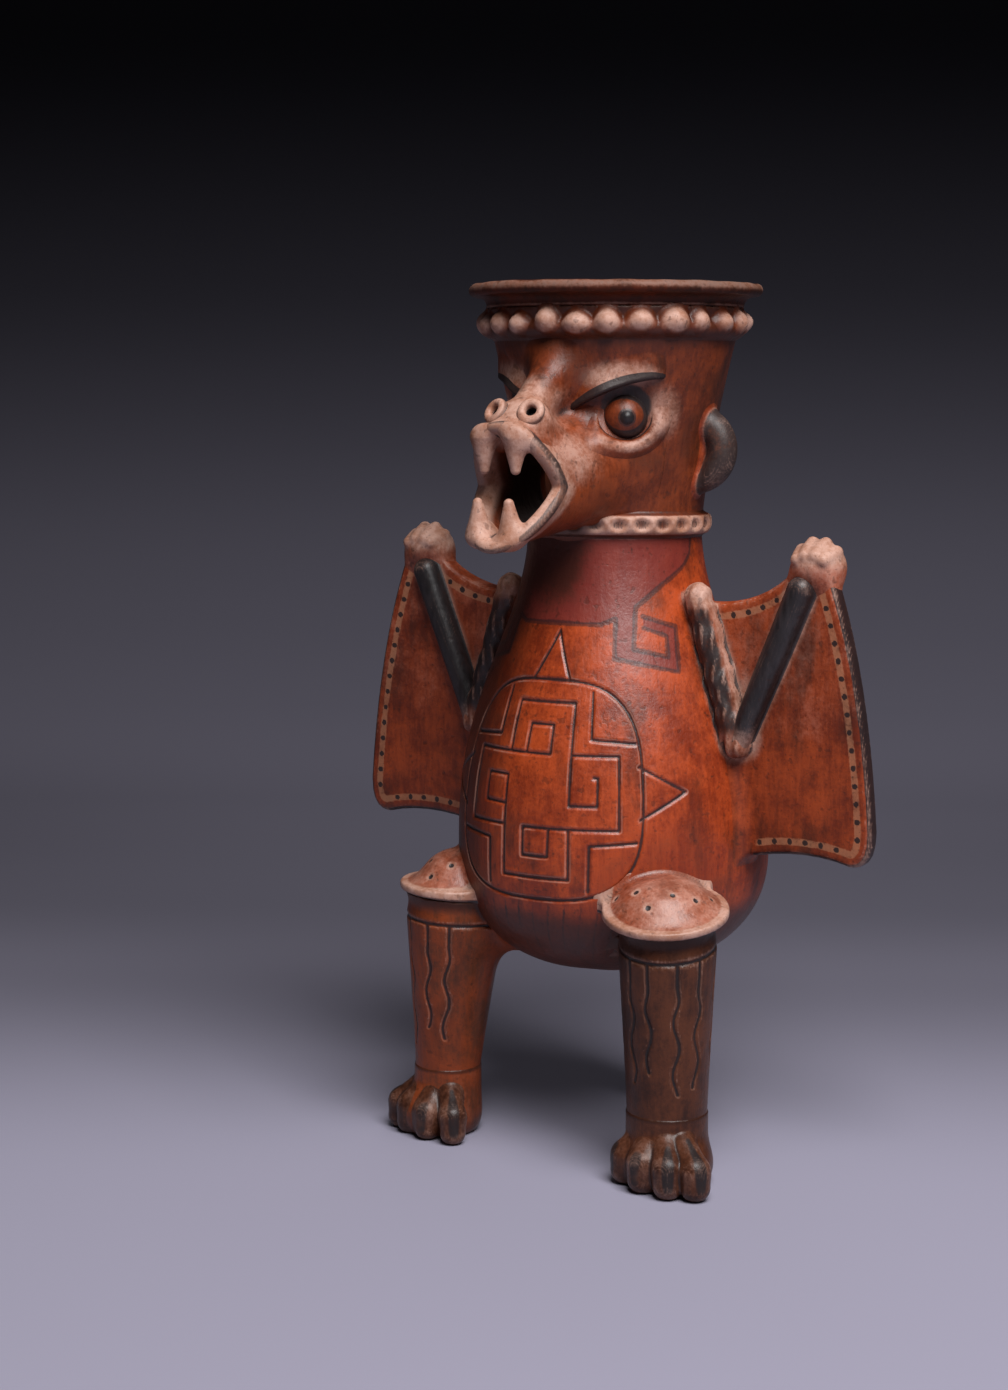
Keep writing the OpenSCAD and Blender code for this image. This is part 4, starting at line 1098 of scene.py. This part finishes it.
    def build_brow(self, form, name, side, fine):
        def brow_parts(p):
            """Share of the way along the brow, height over its edge, and how far it stands out."""
            t = (heading(p) - 4.0) / 54.0
            arch = np.sin(np.pi * np.clip(t, 0, 1))
            edge_z = form.eye_z + 1.5 + 14.5 * np.sin(np.pi / 2 * np.clip(t, 0, 1))
            above = 0.93 * (p[..., 2] - edge_z)
            return t, above, 5.4 * np.clip(arch, 0, 1) ** 0.75 * np.clip(1 - above / 11, 0, 1) ** 1.6

        def brow_field(p):
            t, above, tall = brow_parts(p)
            wall = form.face_field(p)
            shelf = overlap(0.8 * (wall - tall + SKIN), -above - 1.2, 1.2)
            return np.maximum.reduce([shelf, -wall - SINK, above - 11, -40 * t, 40 * (t - 1)])

        ends = np.stack([form.on_head(5, form.eye_z, 8) - [8, 8, 6],
                         form.on_head(64, form.eye_z + 28, 2) + [10, 12, 6]])
        obj, points = sculpt(name + "_brow", brow_field, ends.min(0), ends.max(0), fine, side)
        t, above, _ = brow_parts(points)
        hatch = np.abs((heading(points) * 0.5 - above * 0.25) % 1.0 - 0.5)
        buff, soot_and_shade = form.face_paint(points)
        hairs = smooth_step(7.5, 5.5, above) * smooth_step(2.6, 3.4, above)
        strokes = smooth_step(0.17, 0.08, hatch) * hairs
        band = 0.2 + 2.5 * np.sin(np.pi * np.clip(t, 0, 1)) ** 0.7
        masks = {"black": np.maximum(smooth_step(0.5, -0.5, above - band), 0.45 * strokes),
                 "buff": buff, "soot_and_shade": soot_and_shade, "crest": np.minimum(crests(obj.data), 0.2)}
        self.seat(obj, "dark_slip", [name + "_brow"], masks, "face_clay")

    def build_lid(self, form, name, side, fine):
        def lid_parts(p):
            """Distance beyond the lid's edge, and how far the lid stands out."""
            u = np.radians(heading(p) - form.eye_az) * form.head_r(form.eye_z)
            v = p[..., 2] - form.eye_z
            k = np.maximum(np.hypot(u / 11.5, v / 9.5), 0.05)
            beyond = 10.5 * (k - 1)
            low_share = smooth_step(0.4 + 0.1 * (u > 0), -0.45, v / 10.0 / k)
            roll = np.sin(np.pi * np.clip((beyond + 1.5) / 9.0, 0, 1) ** 0.7)
            return beyond, 2.8 * low_share * roll * smooth_step(-16, -7, u)

        def lid_field(p):
            beyond, tall = lid_parts(p)
            carrier = np.minimum(form.face_field(p), form.muzzle_field(p))
            shelf = overlap(0.8 * (carrier - tall + SKIN), -beyond - 1.2, 1.2)
            return np.maximum.reduce([shelf, -carrier - SINK, beyond - 9])

        at = form.on_head(form.eye_az, form.eye_z, form.eye_out - form.eye_r)
        obj, points = sculpt(name + "_eyelid", lid_field, at - 22, at + [24, 22, 14], fine, side)
        beyond, tall = lid_parts(points)
        buff, soot_and_shade = form.face_paint(points)
        # The lid's raised fold is paler, bare clay and painted highlight, and carries less soot.
        masks = {"buff": np.maximum(buff, 0.55 * smooth_step(1.2, 2.6, tall)),
                 "soot_and_shade": soot_and_shade * (1 - smooth_step(1.0, 2.4, tall)),
                 "black": 0.7 * smooth_step(-0.3, -1.1, beyond)}
        self.seat(obj, "red_slip", [name + "_eyelid"], masks, "face_clay")


class EFFIGY_OT_ears(PieceOperator, bpy.types.Operator):
    """Build the ears"""
    bl_idname = "effigy.ears"
    bl_label = "Ears"

    def build(self, form):
        a = math.radians(form.ear_az)
        axes = np.array([[math.sin(a), -math.cos(a), 0], [0, 0, 1], [math.cos(a), math.sin(a), 0]])
        at = form.on_head(form.ear_az, form.neck_z + form.ear_up, -form.ear_sink)

        def parts(p):
            q = (p - at) @ axes.T
            r = from_axis(q)
            lean = np.cos(np.arctan2(q[..., 1] - 2.0, q[..., 0]))
            thick = form.ear_coil_r * (0.4 + 0.85 * smooth_step(-0.5, 0.8, lean))
            rim = np.hypot(r - form.ear_r - form.ear_coil_r + thick, q[..., 2] * 0.92) - thick
            web = np.maximum(r - form.ear_r, np.abs(q[..., 2]) - 1.9)
            return rim, web

        def field(p):
            rim, web = parts(p)
            return luted(blend(rim, web, 3.0), form.wall_field(p), 4.0)

        for name, side in both_sides():
            obj, points = sculpt(name + "_ear", field, at - 24, at + 24, 0.9 * form.voxel, side)
            on_rim = smooth_step(1.4, 0.3, parts(points)[0])
            # The coil is black with pale patches that are scuffs and painted sheen.
            masks = {"black": 0.68 * on_rim, "buff": 0.15 + 0.5 * on_rim, "soot_and_shade": 0.2 * (1 - on_rim),
                     "crest": crests_off(obj.data, form.wall_field(points))}
            self.seat(obj, "dark_slip", [name + "_ear"], masks, "orange_slip")


class EFFIGY_OT_wings(PieceOperator, bpy.types.Operator):
    """Build the wings, with their arms and clenched hands"""
    bl_idname = "effigy.wings"
    bl_label = "Wings"

    border, band, dot_pitch = 5.4, 1.4, 6.9
    finger_r, finger_leans, knuckle_r = 2.5, (-48, -16, 17, 50), 9.3

    def border_dots(self, form):
        """Middles of the painted dots, along a line inside the wing's free edges."""
        dots = []
        for key in ("top", "outer", "bottom"):
            line = np.array(form.wing_line()[key])
            along = np.gradient(line, axis=0)
            along /= length(along)[:, None]
            line = line + self.border * np.stack([along[:, 1], -along[:, 0]], -1)
            gaps = np.concatenate([[0], np.cumsum(length(np.diff(line, axis=0)))])
            stops = np.arange(self.dot_pitch, gaps[-1] - 3, self.dot_pitch)
            dots += list(np.stack([np.interp(stops, gaps, line[:, k]) for k in (0, 1)], -1))
        return np.array(dots)

    def build(self, form):
        lines = form.wing_line()
        dots = self.border_dots(form)
        low, high = (20, -16, form.wing_z - 6), (form.wing_x + 3, 14, form.knob[2] + 6)

        def field(p):
            return luted(form.wing_field(p), form.wall_field(p), 7.0)

        def body_and_wing(p):
            return np.minimum(form.wall_field(p), form.wing_field(p))

        for name, side in both_sides():
            obj, points = sculpt(name + "_wing", field, low, high, form.voxel, side)
            x, z = points[:, 0], points[:, 2]
            rim = to_lines(x, z, [lines["outer"], lines["bottom"]])
            free = to_lines(x, z, [lines["top"], lines["outer"], lines["bottom"]])
            to_dot = np.min([np.hypot(x - a, z - b) for a, b in dots], 0)
            wall = form.wall_field(points)
            upper, fore = form.upper_arm_field(points), form.forearm_field(points)
            arm = np.minimum(upper, fore)
            web = smooth_step(8, 3, upper) * smooth_step(8, 3, fore)
            painted = smooth_step(4, 10, wall) * (points[:, 1] < 0)
            masks = {
                "black": 0.95 * np.maximum(smooth_step(1.9, 0.9, rim),
                                           smooth_step(1.5, 0.9, to_dot) * painted),
                "cream": 0.9 * smooth_step(0.7, -0.3, np.abs(free - self.border) - self.band) * painted,
                # Pale round the arms and in the web between them, and paler towards the top of the wing: a
                # painted highlight.
                "buff": (0.45 * smooth_step(3.5, 0.5, arm) + 0.4 * web
                         + 0.2 * smooth_step(-8, 12, z - form.elbow[2])),
                # Darker in a ring round the foot of the arms: painted shade.
                "soot_and_shade": 0.35 * smooth_step(5, 2, arm) * smooth_step(0.5, 2.5, arm),
            }
            self.seat(obj, "orange_slip", [name + "_wing"], masks)
            self.build_arm(form, name, side, body_and_wing)

    def build_arm(self, form, name, side, carrier):
        fine = 0.85 * form.voxel
        ends = np.stack([form.shoulder, form.elbow])

        def rough_arm(p):
            x, y, z = p[..., 0], p[..., 1], p[..., 2]
            scars = np.sin(1.5 * x + 0.9 * np.sin(0.23 * z + 1.0))
            scars = scars * np.sin(0.31 * z + 0.8 * np.sin(0.17 * z))
            dents = 0.4 * scars + 0.2 * np.sin(0.42 * z + 0.5 * y)
            return luted(form.upper_arm_field(p) + dents, carrier(p), 3.0)

        obj, points = sculpt(name + "_upper_arm", rough_arm, ends.min(0) - 10, ends.max(0) + 10, fine, side)
        t = (form.shoulder[2] - points[:, 2]) / (form.shoulder[2] - form.elbow[2])
        front = smooth_step(-0.1, -0.75, (points[:, 1] - form.shoulder[1]) / form.arm_r)
        masks = {"buff": np.maximum(0.62 * (1 - front), 0.4 + 0.4 * smooth_step(0.15, 0.0, t)),
                 "black": front * 0.66 * smooth_step(0.0, 0.12, t) * smooth_step(1.02, 0.85, t)}
        self.seat(obj, "dark_slip", [name + "_upper_arm"], masks, "face_clay")

        ends = np.stack([form.elbow, form.wrist])
        obj, points = sculpt(name + "_forearm", lambda p: luted(form.forearm_field(p), carrier(p), 2.6),
                             ends.min(0) - 10, ends.max(0) + 10, fine, side)
        on_top = smooth_step(1.2, 0.2, form.forearm_field(points))
        near_elbow = smooth_step(14, 4, length(points - form.elbow))
        masks = {"black": 0.5 * on_top * (1 - near_elbow),
                 "buff": np.maximum(0.35 * (1 - on_top), 0.55 * near_elbow)}
        self.seat(obj, "dark_slip", [name + "_forearm"], masks)

        def hand(p):
            fist = ball(p, form.knob, np.array([1.04, 0.95, 1.0]) * form.knob_r)
            for lean in np.radians(self.finger_leans):
                x, z = self.knuckle_r * math.sin(lean), self.knuckle_r * math.cos(lean)
                tip, knuckle = form.knob + [0.8 * x, -7.5, 0.55 * z], form.knob + [1.06 * x, 0.0, 1.06 * z]
                fist = blend(fist, bar(p, tip, knuckle, self.finger_r), 1.4)
            return luted(fist, carrier(p), 4.0)

        obj, points = sculpt(name + "_knob", hand, form.knob - 15, form.knob + 15, fine, side)
        up = (points[:, 2] - form.knob[2]) / form.knob_r
        masks = {"buff": 0.35 + 0.75 * smooth_step(-0.3, 0.7, up)}
        self.seat(obj, "buff_clay", [name + "_knob"], masks, "orange_slip")


class EFFIGY_OT_legs(PieceOperator, bpy.types.Operator):
    """Build the front legs, with their kneecaps, paws and toes"""
    bl_idname = "effigy.legs"
    bl_label = "Front legs"

    band_drop, wave_low = 11.0, 42
    dot_count, dot_turn, dot_lifts, dot_r = 11, 33, (22, 44, 31), 1.5
    leg_half, knee_half, foot_half = 36, 34, 38

    def build(self, form):
        for name, side in both_sides():
            leg = LEGS[name]
            self.build_leg(form, name, side, leg)
            self.build_knee(form, name, side, leg)
            self.build_foot(form, name, side, leg)

    def leg_parts(self, form, p, leg):
        """Distance to a leg, and along its skin to the nearest incised line."""
        q = form.leg_local(p, leg)
        z, below = p[..., 2], form.knee_local(p, leg)[..., 2]
        r = form.leg_r(z, leg)
        neck = 1.2 * np.exp(-((below + 5.0) / 4.0) ** 2)
        d = np.maximum(from_axis(q) - r + neck, below - 0.5)
        az, from_band = heading(q), below + self.band_drop
        gap = np.abs(from_band)
        for k, line in enumerate(leg.waves):
            wave = line + 4.2 * np.sin(z / 3.3 + 1.7 * k) * smooth_step(84, 70, z)
            across = np.radians((az - wave + 180) % 360 - 180) * r
            end = np.maximum.reduce([from_band, self.wave_low + 5 * math.sin(2.0 * k) - z, np.zeros_like(z)])
            gap = np.minimum(gap, np.hypot(across, end))
        return d, gap

    def build_leg(self, form, name, side, leg):
        def field(p):
            d, gap = self.leg_parts(form, p, leg)
            below = form.knee_local(p, leg)[..., 2]
            fillet = 2.5 + 13.0 * smooth_step(-5, -24, below)
            d = np.maximum(luted(d, form.wall_field(p), fillet), below + 0.6)
            groove = form.groove_d * np.clip(1 - (gap / (0.6 * form.groove_w)) ** 2, 0, 1)
            return np.maximum(d + groove, form.ankle_z - 3 - p[..., 2])

        r = self.leg_half
        low = form.leg_at(leg) + [-r, -r, form.ankle_z - 6]
        high = form.leg_at(leg) + [r, r, form.knee_z + 12]
        obj, points = sculpt(name + "_leg", field, low, high, form.voxel, side)
        _, gap = self.leg_parts(form, points, leg)
        local = form.knee_local(points, leg)
        # Darker just under the kneecap: painted shade.
        masks = {"line": np.clip(4.0 - gap, 0, 4), "soot_and_shade": 0.75 * smooth_step(-9, -2, local[:, 2]),
                 "crest": crests_off(obj.data, points[:, 2] - form.ankle_z, 0, 3)}
        material = "brown_slip" if side > 0 else "leg_slip"
        self.seat(obj, "brown_slip", [name + "_leg"], masks, material)

    def build_knee(self, form, name, side, leg):
        a, girth, foot = math.radians(leg.az), leg.girth, form.leg_at(leg)
        back = form.dome_back * np.array([-math.sin(a), math.cos(a)])
        dome_at = foot + [*(leg.knee + back), form.knee_z + 1.0 - leg.drop]
        dome_r = girth * form.dome_r
        dots = []
        for i in range(self.dot_count):
            az, el = math.radians(self.dot_turn * i + 12), math.radians(self.dot_lifts[i % 3])
            flat = dome_r * math.cos(el)
            dots.append(dome_at + [flat * math.sin(az), -flat * math.cos(az), leg.dome * math.sin(el)])

        def parts(p):
            q = form.knee_local(p, leg)
            rho = from_axis(q)
            dish = 0.4 * np.exp(-((rho - 0.86 * girth * form.brim_r) / 2.6) ** 2)
            h = q[..., 2] - form.brim_t / 2
            brim = overlap(rho - girth * form.brim_r, np.maximum(h + dish, -h) - form.brim_t / 2, 1.2)
            dome = ball(p, dome_at, (dome_r, dome_r, leg.dome))
            cap = np.maximum(luted(blend(brim, dome, 7.0), form.wall_field(p), 4.0), -q[..., 2] - 1.2)
            to_dot = np.min([length(p - d) for d in dots], 0)
            return cap, to_dot, rho, h

        def field(p):
            cap, to_dot, _, _ = parts(p)
            return cap + 0.7 * np.clip(1 - (to_dot / self.dot_r) ** 2, 0, 1)

        r = self.knee_half
        low, high = foot + [-r, -r, form.knee_z - 12], foot + [r, r, form.knee_z + 28]
        obj, points = sculpt(name + "_kneecap", field, low, high, form.voxel, side)
        _, to_dot, rho, h = parts(points)
        edge = smooth_step(girth * form.brim_r - 4.5, girth * form.brim_r - 2.0, rho)
        below = smooth_step(-0.6, -1.6, h)
        # Black under the brim is painted shade; the dome is paler towards its outer side, a painted
        # highlight; darker at its foot on the body, painted shade.
        masks = {"black": np.maximum(0.95 * smooth_step(self.dot_r, 0.8, to_dot), 0.9 * below),
                 "buff": np.maximum.reduce([0.65 * smooth_step(3.2, 1.8, to_dot), 1.15 * edge * (1 - below),
                                            0.32 + 0.2 * smooth_step(-14, 12, points[:, 0] - dome_at[0])]),
                 "soot_and_shade": 0.25 * smooth_step(4, 1, form.wall_field(points))}
        self.seat(obj, "orange_slip", [name + "_kneecap"], masks, "knee_slip")

    def build_foot(self, form, name, side, leg):
        girth, foot = leg.girth, form.leg_at(leg)

        def paw(p):
            q = form.leg_local(p, leg)
            ankle_r = leg.ankle * form.ankle_r
            stump = bar(q, (0, 0, 8), (0, 0, form.ankle_z + 4), ankle_r + 0.4, ankle_r + 0.4)
            mass = ball(q, (2.5, -form.paw_fore, 8.5), (girth * form.paw_r, girth * form.paw_r, 12.5))
            return overlap(blend(stump, mass, 5.0), -q[..., 2], 2.0)

        def toes(p):
            q = form.leg_local(p, leg)
            nearest = np.full(q.shape[:-1], 50.0)
            ridge = np.full(q.shape[:-1], 50.0)
            for az, reach in leg.toes:
                a, r = math.radians(az), girth * form.toe_r
                out = reach * np.array([math.sin(a), -math.cos(a), 0])
                knuckle, bow = 0.6 * out + [0, 0, 18.0], 0.97 * out + [0, 0, 11.0]
                tip = out + [0, 0, r - 0.6]
                toe = blend(bar(q, knuckle, bow, 0.85 * r, r), bar(q, bow, tip, r, 0.98 * r), 2.0)
                nearest = blend(nearest, toe, 0.8)
                aside = np.abs((q - out) @ [math.cos(a), math.sin(a), 0])
                ridge = np.minimum(ridge, aside + 99 * (q @ out < 0))
            return overlap(nearest, -q[..., 2], 1.5), ridge

        def cut_paw(p):
            return overlap(paw(p), p[..., 2] - form.ankle_z - 1, 0.8)

        def seated_toes(p):
            return luted(toes(p)[0], paw(p), 2.2)

        r = self.foot_half
        low, high = foot + [-r, -r, -2], foot + [r, r, form.ankle_z + 3]
        obj, points = sculpt(name + "_paw", cut_paw, low, high, form.voxel, side)
        seam = smooth_step(form.ankle_z - 1.5, form.ankle_z + 0.2, points[:, 2])
        # Darker near the floor: painted shade.
        masks = {"soot_and_shade": 0.2 + 0.4 * smooth_step(8, 1, points[:, 2]) + 0.7 * seam,
                 "buff": 0.15 * (1 - seam), "crest": crests(obj.data) * (1 - seam)}
        material = "brown_slip" if side > 0 else "leg_slip"
        self.seat(obj, "brown_slip", [name + "_paw"], masks, material)
        obj, points = sculpt(name + "_toes", seated_toes, low, high, 0.85 * form.voxel, side)
        _, ridge = toes(points)
        proud = smooth_step(0.8, 3.2, paw(points))
        half = np.interp(points[:, 2], (0, 6, 14, 20), (0.8, 2.2, 2.7, 1.2))
        claw = proud * smooth_step(1.3, -0.9, ridge - half) * smooth_step(1.0, 5.0, points[:, 2])
        # A pale streak along each claw is a painted highlight; darker near the floor, painted shade.
        masks = {"black": 0.66 * claw, "buff": 0.22 + 0.1 * smooth_step(1.6, 0.6, ridge) * claw,
                 "soot_and_shade": 0.4 * smooth_step(6, 1, points[:, 2])}
        self.seat(obj, "dark_slip", [name + "_toes"], masks, "brown_slip")


class EFFIGY_OT_tail(PieceOperator, bpy.types.Operator):
    """Build the tail leg, the hind support"""
    bl_idname = "effigy.tail"
    bl_label = "Tail leg"

    def build(self, form):
        tilt = turn_x(math.radians(form.tail_tilt))
        foot = np.array([0, form.tail_y, -form.tail_sole_r * math.sin(math.radians(form.tail_tilt))])

        def field(p):
            q = (p - foot) @ tilt
            rho, up = from_axis(q), q[..., 2]
            t = np.clip(up / (form.base_z / 2), 0, 1)
            r = form.tail_sole_r + (form.tail_r - form.tail_sole_r) * np.sqrt(1 - (1 - t) ** 2)
            d = np.maximum((rho - r) * 0.9, -p[..., 2])
            d = np.maximum(d, up - form.belly_z + form.base_z / 4)
            return np.maximum(luted(overlap(d, -p[..., 2], 1.5), form.wall_field(p), 12.0), -p[..., 2])

        low, high = (-32, foot[1] - 44, -2), (32, foot[1] + 26, form.belly_z + 6)
        obj, points = sculpt("tail_leg", field, low, high, form.voxel)
        # Darker near the floor: painted shade.
        masks = {"soot_and_shade": 0.4 + 0.4 * smooth_step(26, 4, points[:, 2])}
        self.seat(obj, "brown_slip", ["tail_leg"], masks)


Lamp = namedtuple("Lamp", "az elevation distance size watts")


class EFFIGY_OT_stage(bpy.types.Operator):
    """Lay the paper sweep, hang the lamps and set the camera"""
    bl_idname = "effigy.stage"
    bl_label = "Stage"

    camera_az, camera_yaw, camera_pitch = 32.2, 2.6, 6.2
    camera_distance, camera_z, lens = 0.989, 0.3072, 63.01
    sensor_width, image_height, frame_drop = 36.0, 1390.0, 45.0
    lamps = {"key": Lamp(az=53, elevation=53, distance=1.5, size=0.9, watts=35.0),
             "back": Lamp(az=212, elevation=30, distance=0.8, size=0.6, watts=1.0)}
    lamp_aim_z, room_colour, room_strength = 0.18, (0.9, 0.93, 1.0, 1.0), 0.02

    # The paper's grade from its front to its dark top, painted shade for the fall of light and for the
    # vessel's shadow behind it: where each fall starts and ends, and by what share
    paper_shade_falls = ((-0.08, 0.26, 0.55), (0.26, 0.44, 0.105), (0.55, 0.95, -0.115), (0.95, 1.3, 0.12),
                   (1.22, 1.7, 0.24), (1.55, 1.95, 0.09))

    def execute(self, context):
        paint = context.scene.bat_vessel_paint
        self.add_camera(context)
        self.add_sweep(context, paint)
        self.add_lamps(context)
        context.scene.view_settings.view_transform = "Standard"
        return {"FINISHED"}

    def add_camera(self, context):
        camera = bpy.data.objects.new("camera", bpy.data.cameras.new("camera"))
        context.scene.collection.objects.link(camera)
        a = math.radians(self.camera_az)
        out = self.camera_distance
        camera.location = (out * math.sin(a), -out * math.cos(a), self.camera_z)
        camera.rotation_euler = (math.radians(90 - self.camera_pitch), 0,
                                 math.radians(self.camera_az + self.camera_yaw))
        camera.data.lens = self.lens
        camera.data.sensor_width = self.sensor_width
        camera.data.shift_y = -self.frame_drop / self.image_height
        context.scene.camera = camera

    def add_sweep(self, context, paint):
        """A sheet of paper that runs flat under the vessel and curves up behind it, its colour darkened
        towards the back by painted shade.
        """
        near, far, round_r, top, half = -1.6, 1.3, 0.5, 2.2, 3.0
        line = [(near, 0.0), (-0.8, 0.0), (0.0, 0.0), (far - round_r, 0.0)]
        line += [(far - round_r + round_r * math.sin(a), round_r - round_r * math.cos(a))
                 for a in np.radians(np.arange(6, 91, 6))]
        line.append((far, top))
        points = [(x, y, z) for y, z in line for x in (-half, half)]
        faces = [(2 * i, 2 * i + 1, 2 * i + 3, 2 * i + 2) for i in range(len(line) - 1)]
        sweep = new_object("paper_sweep", np.array(points) / MILLIMETRE, np.array(faces))
        sweep.rotation_euler[2] = math.radians(self.camera_az)
        t = Tree("paper")
        where = t.node("ShaderNodeTexCoord", out="Object")
        along, up = (t.node("ShaderNodeSeparateXYZ", {}, {0: where}, axis) for axis in "YZ")
        depth = along + up + t.noise(where, 900.0) * 0.02 - 0.01
        level = 1.0
        for start, end, fall in self.paper_shade_falls:
            level = level - depth.step(start, end) * fall
        colour = t.mix(level, (0.0, 0.0, 0.0), paint.floor)
        t.surface(Base_Color=colour, Roughness=0.9, Specular_IOR_Level=0.0)
        sweep.data.materials.append(t.material)

    def add_lamps(self, context):
        for name, lamp in self.lamps.items():
            data = bpy.data.lights.new(name, "AREA")
            data.energy, data.size = lamp.watts, lamp.size
            obj = bpy.data.objects.new(name, data)
            context.scene.collection.objects.link(obj)
            a, e = math.radians(lamp.az), math.radians(lamp.elevation)
            out, up = lamp.distance * math.cos(e), lamp.distance * math.sin(e)
            obj.location = (out * math.sin(a), -out * math.cos(a), self.lamp_aim_z + up)
            obj.rotation_euler = (math.radians(90) - e, 0, a)
            obj.visible_camera = False
            obj.visible_glossy = name == "key"
        world = bpy.data.worlds.new("room")
        world.use_nodes = True
        room = world.node_tree.nodes["Background"].inputs
        room["Color"].default_value = self.room_colour
        room["Strength"].default_value = self.room_strength
        context.scene.world = world


PIECES = (EFFIGY_OT_body, EFFIGY_OT_head, EFFIGY_OT_beads, EFFIGY_OT_muzzle, EFFIGY_OT_face, EFFIGY_OT_ears,
          EFFIGY_OT_wings, EFFIGY_OT_legs, EFFIGY_OT_tail, EFFIGY_OT_stage)


class EFFIGY_PT_panel(bpy.types.Panel):
    """Sizes, colours and steps of the vessel"""
    bl_label = "Bat-effigy vessel"
    bl_idname = "EFFIGY_PT_panel"
    bl_space_type = "VIEW_3D"
    bl_region_type = "UI"
    bl_category = "Vessel"

    def draw(self, context):
        for group in (context.scene.bat_vessel_sizes, context.scene.bat_vessel_paint):
            for key in group.__annotations__:
                self.layout.prop(group, key)
        for piece in PIECES:
            self.layout.operator(piece.bl_idname)


CLASSES = (VesselSizes, VesselPaint, *PIECES, EFFIGY_PT_panel)


def register():
    for cls in CLASSES:
        bpy.utils.register_class(cls)
    bpy.types.Scene.bat_vessel_sizes = PointerProperty(type=VesselSizes)
    bpy.types.Scene.bat_vessel_paint = PointerProperty(type=VesselPaint)


def unregister():
    del bpy.types.Scene.bat_vessel_paint
    del bpy.types.Scene.bat_vessel_sizes
    for cls in reversed(CLASSES):
        bpy.utils.unregister_class(cls)


def main():
    register()
    for piece in PIECES:
        group, step = piece.bl_idname.split(".")
        getattr(getattr(bpy.ops, group), step)()


if __name__ == "__main__":
    main()
